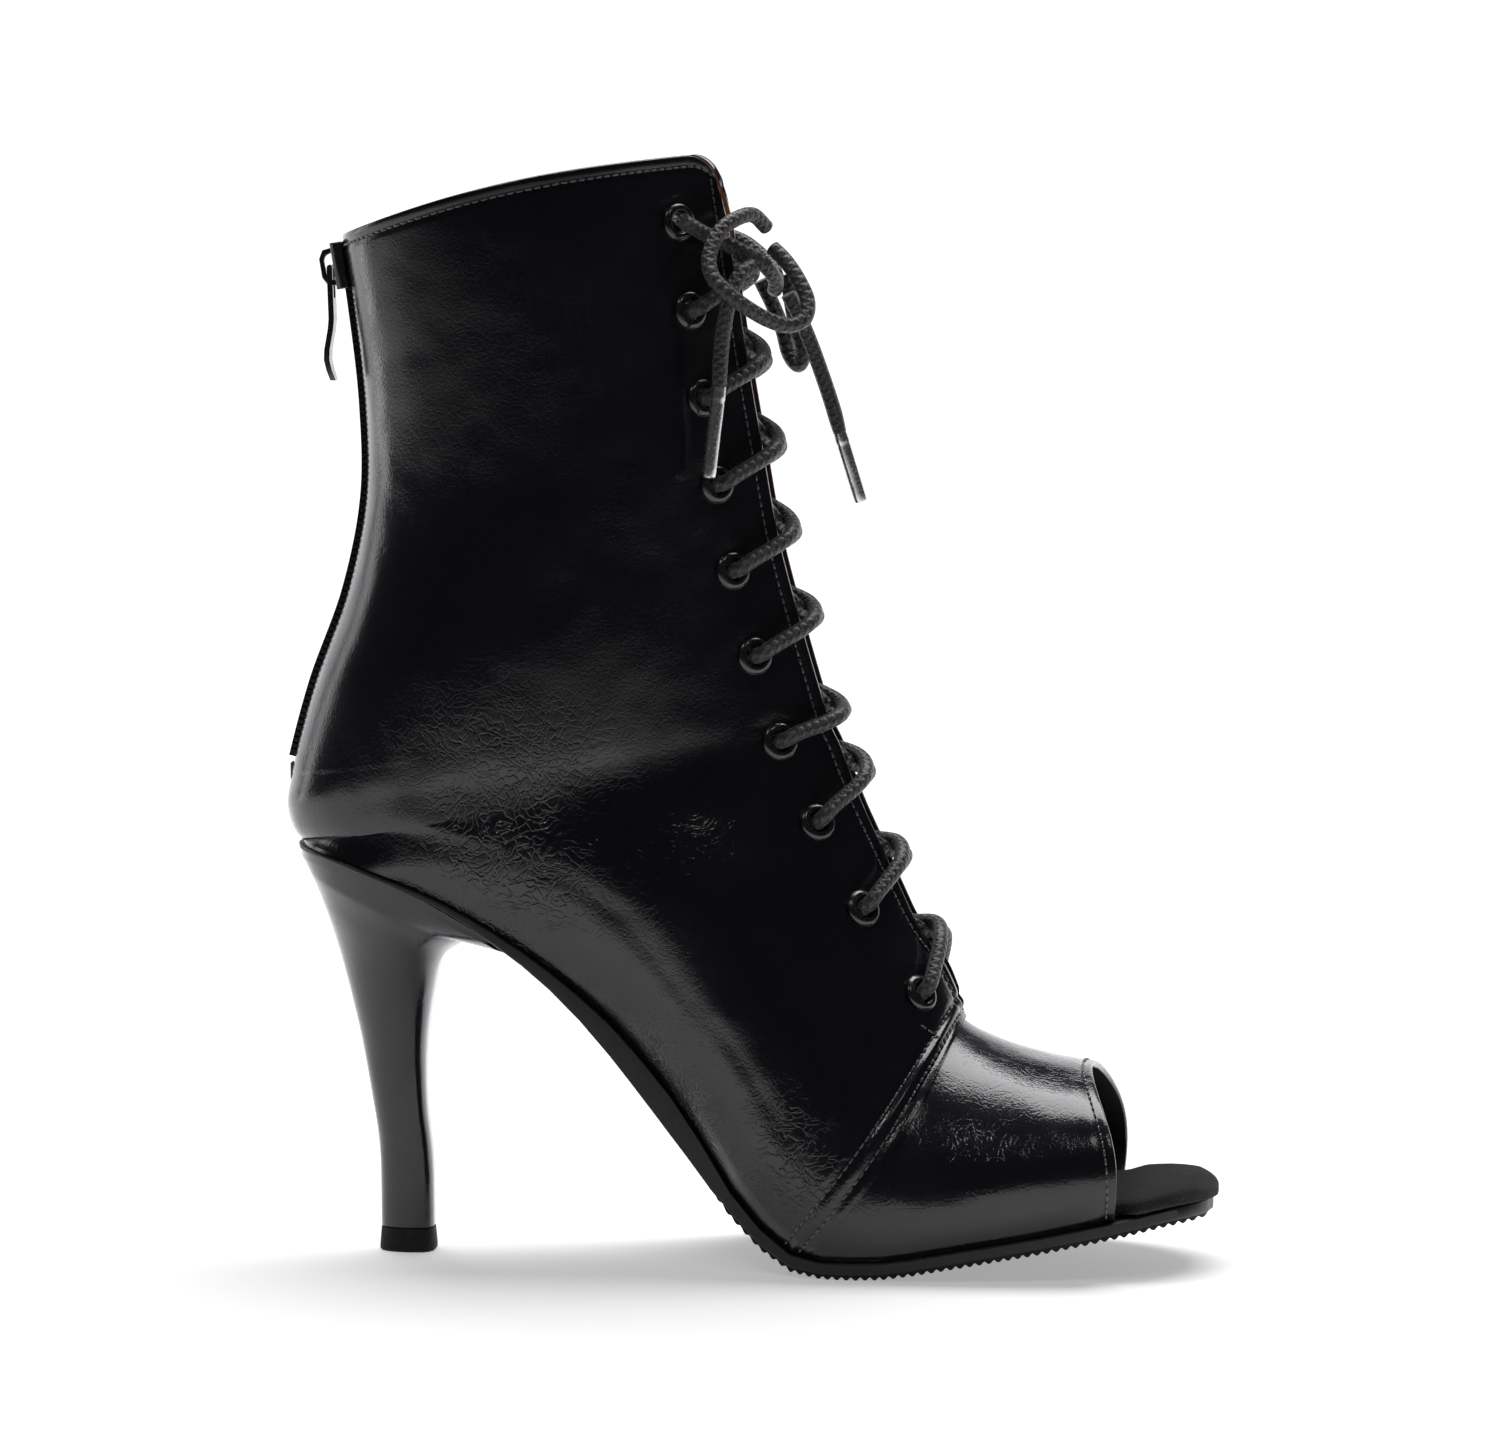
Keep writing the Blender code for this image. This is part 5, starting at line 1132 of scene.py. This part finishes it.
# The rear zip: woven tape sewn inside the slot, two rows of meshed teeth, a black slider at the collar and
# a thin bent pull that hangs on it. A bar tack of thread closes the slot's foot.
TOOTH_PITCH = 1.45 * MM
line = [back_frame(row) for row in np.linspace(0.1, 5.78, 160)]
spine = np.array([point for point, _, _ in line])
outward = np.array([out for _, _, out in line])
length = lengths(spine)
places = np.arange(TOOTH_PITCH / 2, length[-1], TOOTH_PITCH / 2)
spine, outward = (at_length(places, length, values)[:, None, None, None] for values in (spine, outward))
down = np.cross(outward, (0, 1, 0))
side = np.where(np.arange(len(places)) % 2, 1, -1)[:, None, None, None]
corners = np.array(((0, 1, 3, 2), (4, 6, 7, 5), (0, 4, 5, 1), (2, 3, 7, 6), (0, 2, 6, 4), (1, 5, 7, 3)))
points, faces = [], []
# Leg and head of a tooth, boxes in mm: both ends across, half thickness, foot, and crown at both ends.
for ends, thick, foot, crowns in (
    ((-0.5, 2.75), 0.5, -1.2, (1.55, 1.55 * 0.92)), ((-0.9, 0.9), 0.62, 0.3, (1.78, 1.78)),
):
    y = side * np.array(ends)[:, None, None] * np.ones((2, 2, 2))
    t = thick * np.array((0.8, 1.0))[:, None, None] * np.array((-1, 1))[:, None] * np.ones(2)
    h = np.stack([np.full((2, 2), foot), np.repeat(np.array(crowns)[:, None], 2, axis=1)], -1)
    box = spine + MM * (y[..., None] * (0, 1, 0) + down * t[..., None] + outward * h[..., None])
    faces.append((np.arange(len(places))[:, None, None] * 8 + corners + sum(map(len, points))).reshape(-1, 4))
    points.append(box.reshape(-1, 3))
teeth = add_mesh("zip_teeth", np.concatenate(points), np.concatenate(faces), enamel, 20)
face_outward(teeth.data)
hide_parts("zip_chain")
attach(teeth, "boot")
woven, tree, node = shader("tape", (0.010, 0.010, 0.011), 0.85, sheen=0.3)
ribs = textured(tree, "ShaderNodeTexWave", bands_direction="Z", Scale=420.0, Distortion=0.4)
bump(tree, node, [(ribs.outputs["Fac"], 0.0002, 0.7)])
ramp_to(
    tree, node, "Base Color", ribs.outputs["Fac"], (0.2, (0.006, 0.006, 0.007)), (0.8, (0.02, 0.02, 0.022)),
)
bpy.data.objects["zip_tape"].data.materials.clear()
bpy.data.objects["zip_tape"].data.materials.append(woven)
tack_at, _, tack_out = back_frame(ZIP_FOOT_ROW - 0.02)
paths = []
for k in range(9):
    rise = np.array((0, 0, (k - 4) * 0.42 * MM))
    sides = [np.array((0, y * MM, 0)) for y in (-3.9, -3.3, 0, 3.3, 3.9)]
    lifts = [h * MM * tack_out for h in (-0.9, 0.1, 0.3, 0.1, -0.9)]
    paths.append(np.array([tack_at + rise + a + b for a, b in zip(sides, lifts)]))
tack = add_mesh("bar_tack", *tubes(paths, 0.27 * MM, 6)[:2], woven, 80)
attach(tack, "boot")
for node_name, body, bevel in (("zip_slider", "boot", 0.28 * MM), ("zip_pull", "pull", 0.22 * MM)):
    solid = bpy.data.objects[node_name]
    mesh = solid.data.copy()
    mesh.transform(solid.matrix_world)
    piece = bpy.data.objects.new(node_name + "_metal", mesh)
    bpy.context.scene.collection.objects.link(piece)
    fix = bmesh.new()
    fix.from_mesh(mesh)
    bmesh.ops.remove_doubles(fix, verts=fix.verts, dist=0.005 * MM)
    bmesh.ops.dissolve_limit(fix, angle_limit=math.radians(4), verts=fix.verts, edges=fix.edges)
    fix.to_mesh(mesh)
    fix.free()
    rounding = piece.modifiers.new("bevel", "BEVEL")
    rounding.width = bevel
    rounding.segments = 3
    rounding.limit_method = "ANGLE"
    rounding.angle_limit = math.radians(28)
    mesh.materials.clear()
    mesh.materials.append(enamel)
    mesh.shade_smooth()
    mesh.set_sharp_from_angle(angle=math.radians(40))
    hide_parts(node_name)
    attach(piece, body)

# The studio: a floor that is white round the boot and darkens towards the camera, so that the shaft
# reflects darkness and the lower parts the floor, and a white sweep behind. The floor also glows, most round
# the boot, which is painted light that lifts the boot's shadow. One big soft box hangs above, and three weak
# ones stand beside the back and high in front.
STUDIO_HALF, FLOOR_FRONT, SWEEP_FOOT, SWEEP_BACK, SWEEP_TOP = 3, 1.2, 0.55, 2.0, 1.1
pale, tree, node = shader("pale_floor", (0.9, 0.9, 0.9), 0.8)
node.inputs["Emission Color"].default_value = (1, 1, 1, 1)
place = add(tree, "ShaderNodeTexCoord")
across = add(tree, "ShaderNodeSeparateXYZ")
tree.links.new(place.outputs["Object"], across.inputs[0])
nearness = calc(tree, "ADD", across.outputs["Y"], FLOOR_FRONT)
# The floor's own glow, strongest round the boot: painted light that lifts the boot's shadow on it.
ramp_to(tree, node, "Emission Strength", nearness, (0.0, 0.0), (0.25, 0.10), (0.80, 0.16), (0.91, 0.36))
ramp_to(tree, node, "Base Color", nearness, (0.0, 0.02), (0.25, 0.25), (0.80, 0.4), (0.91, 0.9))
left, right = -STUDIO_HALF, STUDIO_HALF
meeting = [(left, SWEEP_FOOT, 0), (right, SWEEP_FOOT, 0)]
floor = add_mesh(
    "floor", [(left, -FLOOR_FRONT, 0), (right, -FLOOR_FRONT, 0), *meeting[::-1]], [(0, 1, 2, 3)], pale,
)
white, tree, node = shader("white_sweep", (0.2, 0.2, 0.2), 0.9)
node.inputs["Emission Color"].default_value = (1, 1, 1, 1)
node.inputs["Emission Strength"].default_value = 1.0
sweep_points = meeting + [(right, SWEEP_BACK, 0), (left, SWEEP_BACK, 0)]
sweep_points += [(right, SWEEP_BACK, SWEEP_TOP), (left, SWEEP_BACK, SWEEP_TOP)]
sweep = add_mesh("sweep", sweep_points, [(0, 1, 2, 3), (3, 2, 4, 5)], white)
for name, place, aim, size, power in (
    ("top_box", (0.12, 0.48, 1.45), (0.08, 0.1, 0.05), (1.5, 0.9), 25),
    ("left_box", (-1.1, 0.42, 0.32), (0, 0, 0.17), (0.3, 0.6), 0.9),
    ("front_box", (0.42, -0.8, 1.25), (0.08, 0, 0.1), (0.22, 0.3), 0.9),
    ("edge_box", (-0.35, -0.75, 1.2), (0.05, 0, 0.15), (0.12, 0.3), 1.2),
):
    light = bpy.data.lights.new(name, "AREA")
    light.shape = "RECTANGLE"
    light.size, light.size_y = size
    light.energy = power
    lamp = bpy.data.objects.new(name, light)
    bpy.context.scene.collection.objects.link(lamp)
    lamp.location = place
    lamp.rotation_euler = (Vector(aim) - Vector(place)).to_track_quat("-Z", "Y").to_euler()
world = bpy.data.worlds.new("studio")
bpy.context.scene.world = world
world.use_nodes = True
world.node_tree.nodes["Background"].inputs["Color"].default_value = (0.5, 0.5, 0.5, 1)
world.node_tree.nodes["Background"].inputs["Strength"].default_value = 0.05
bpy.context.scene.view_settings.view_transform = "Standard"
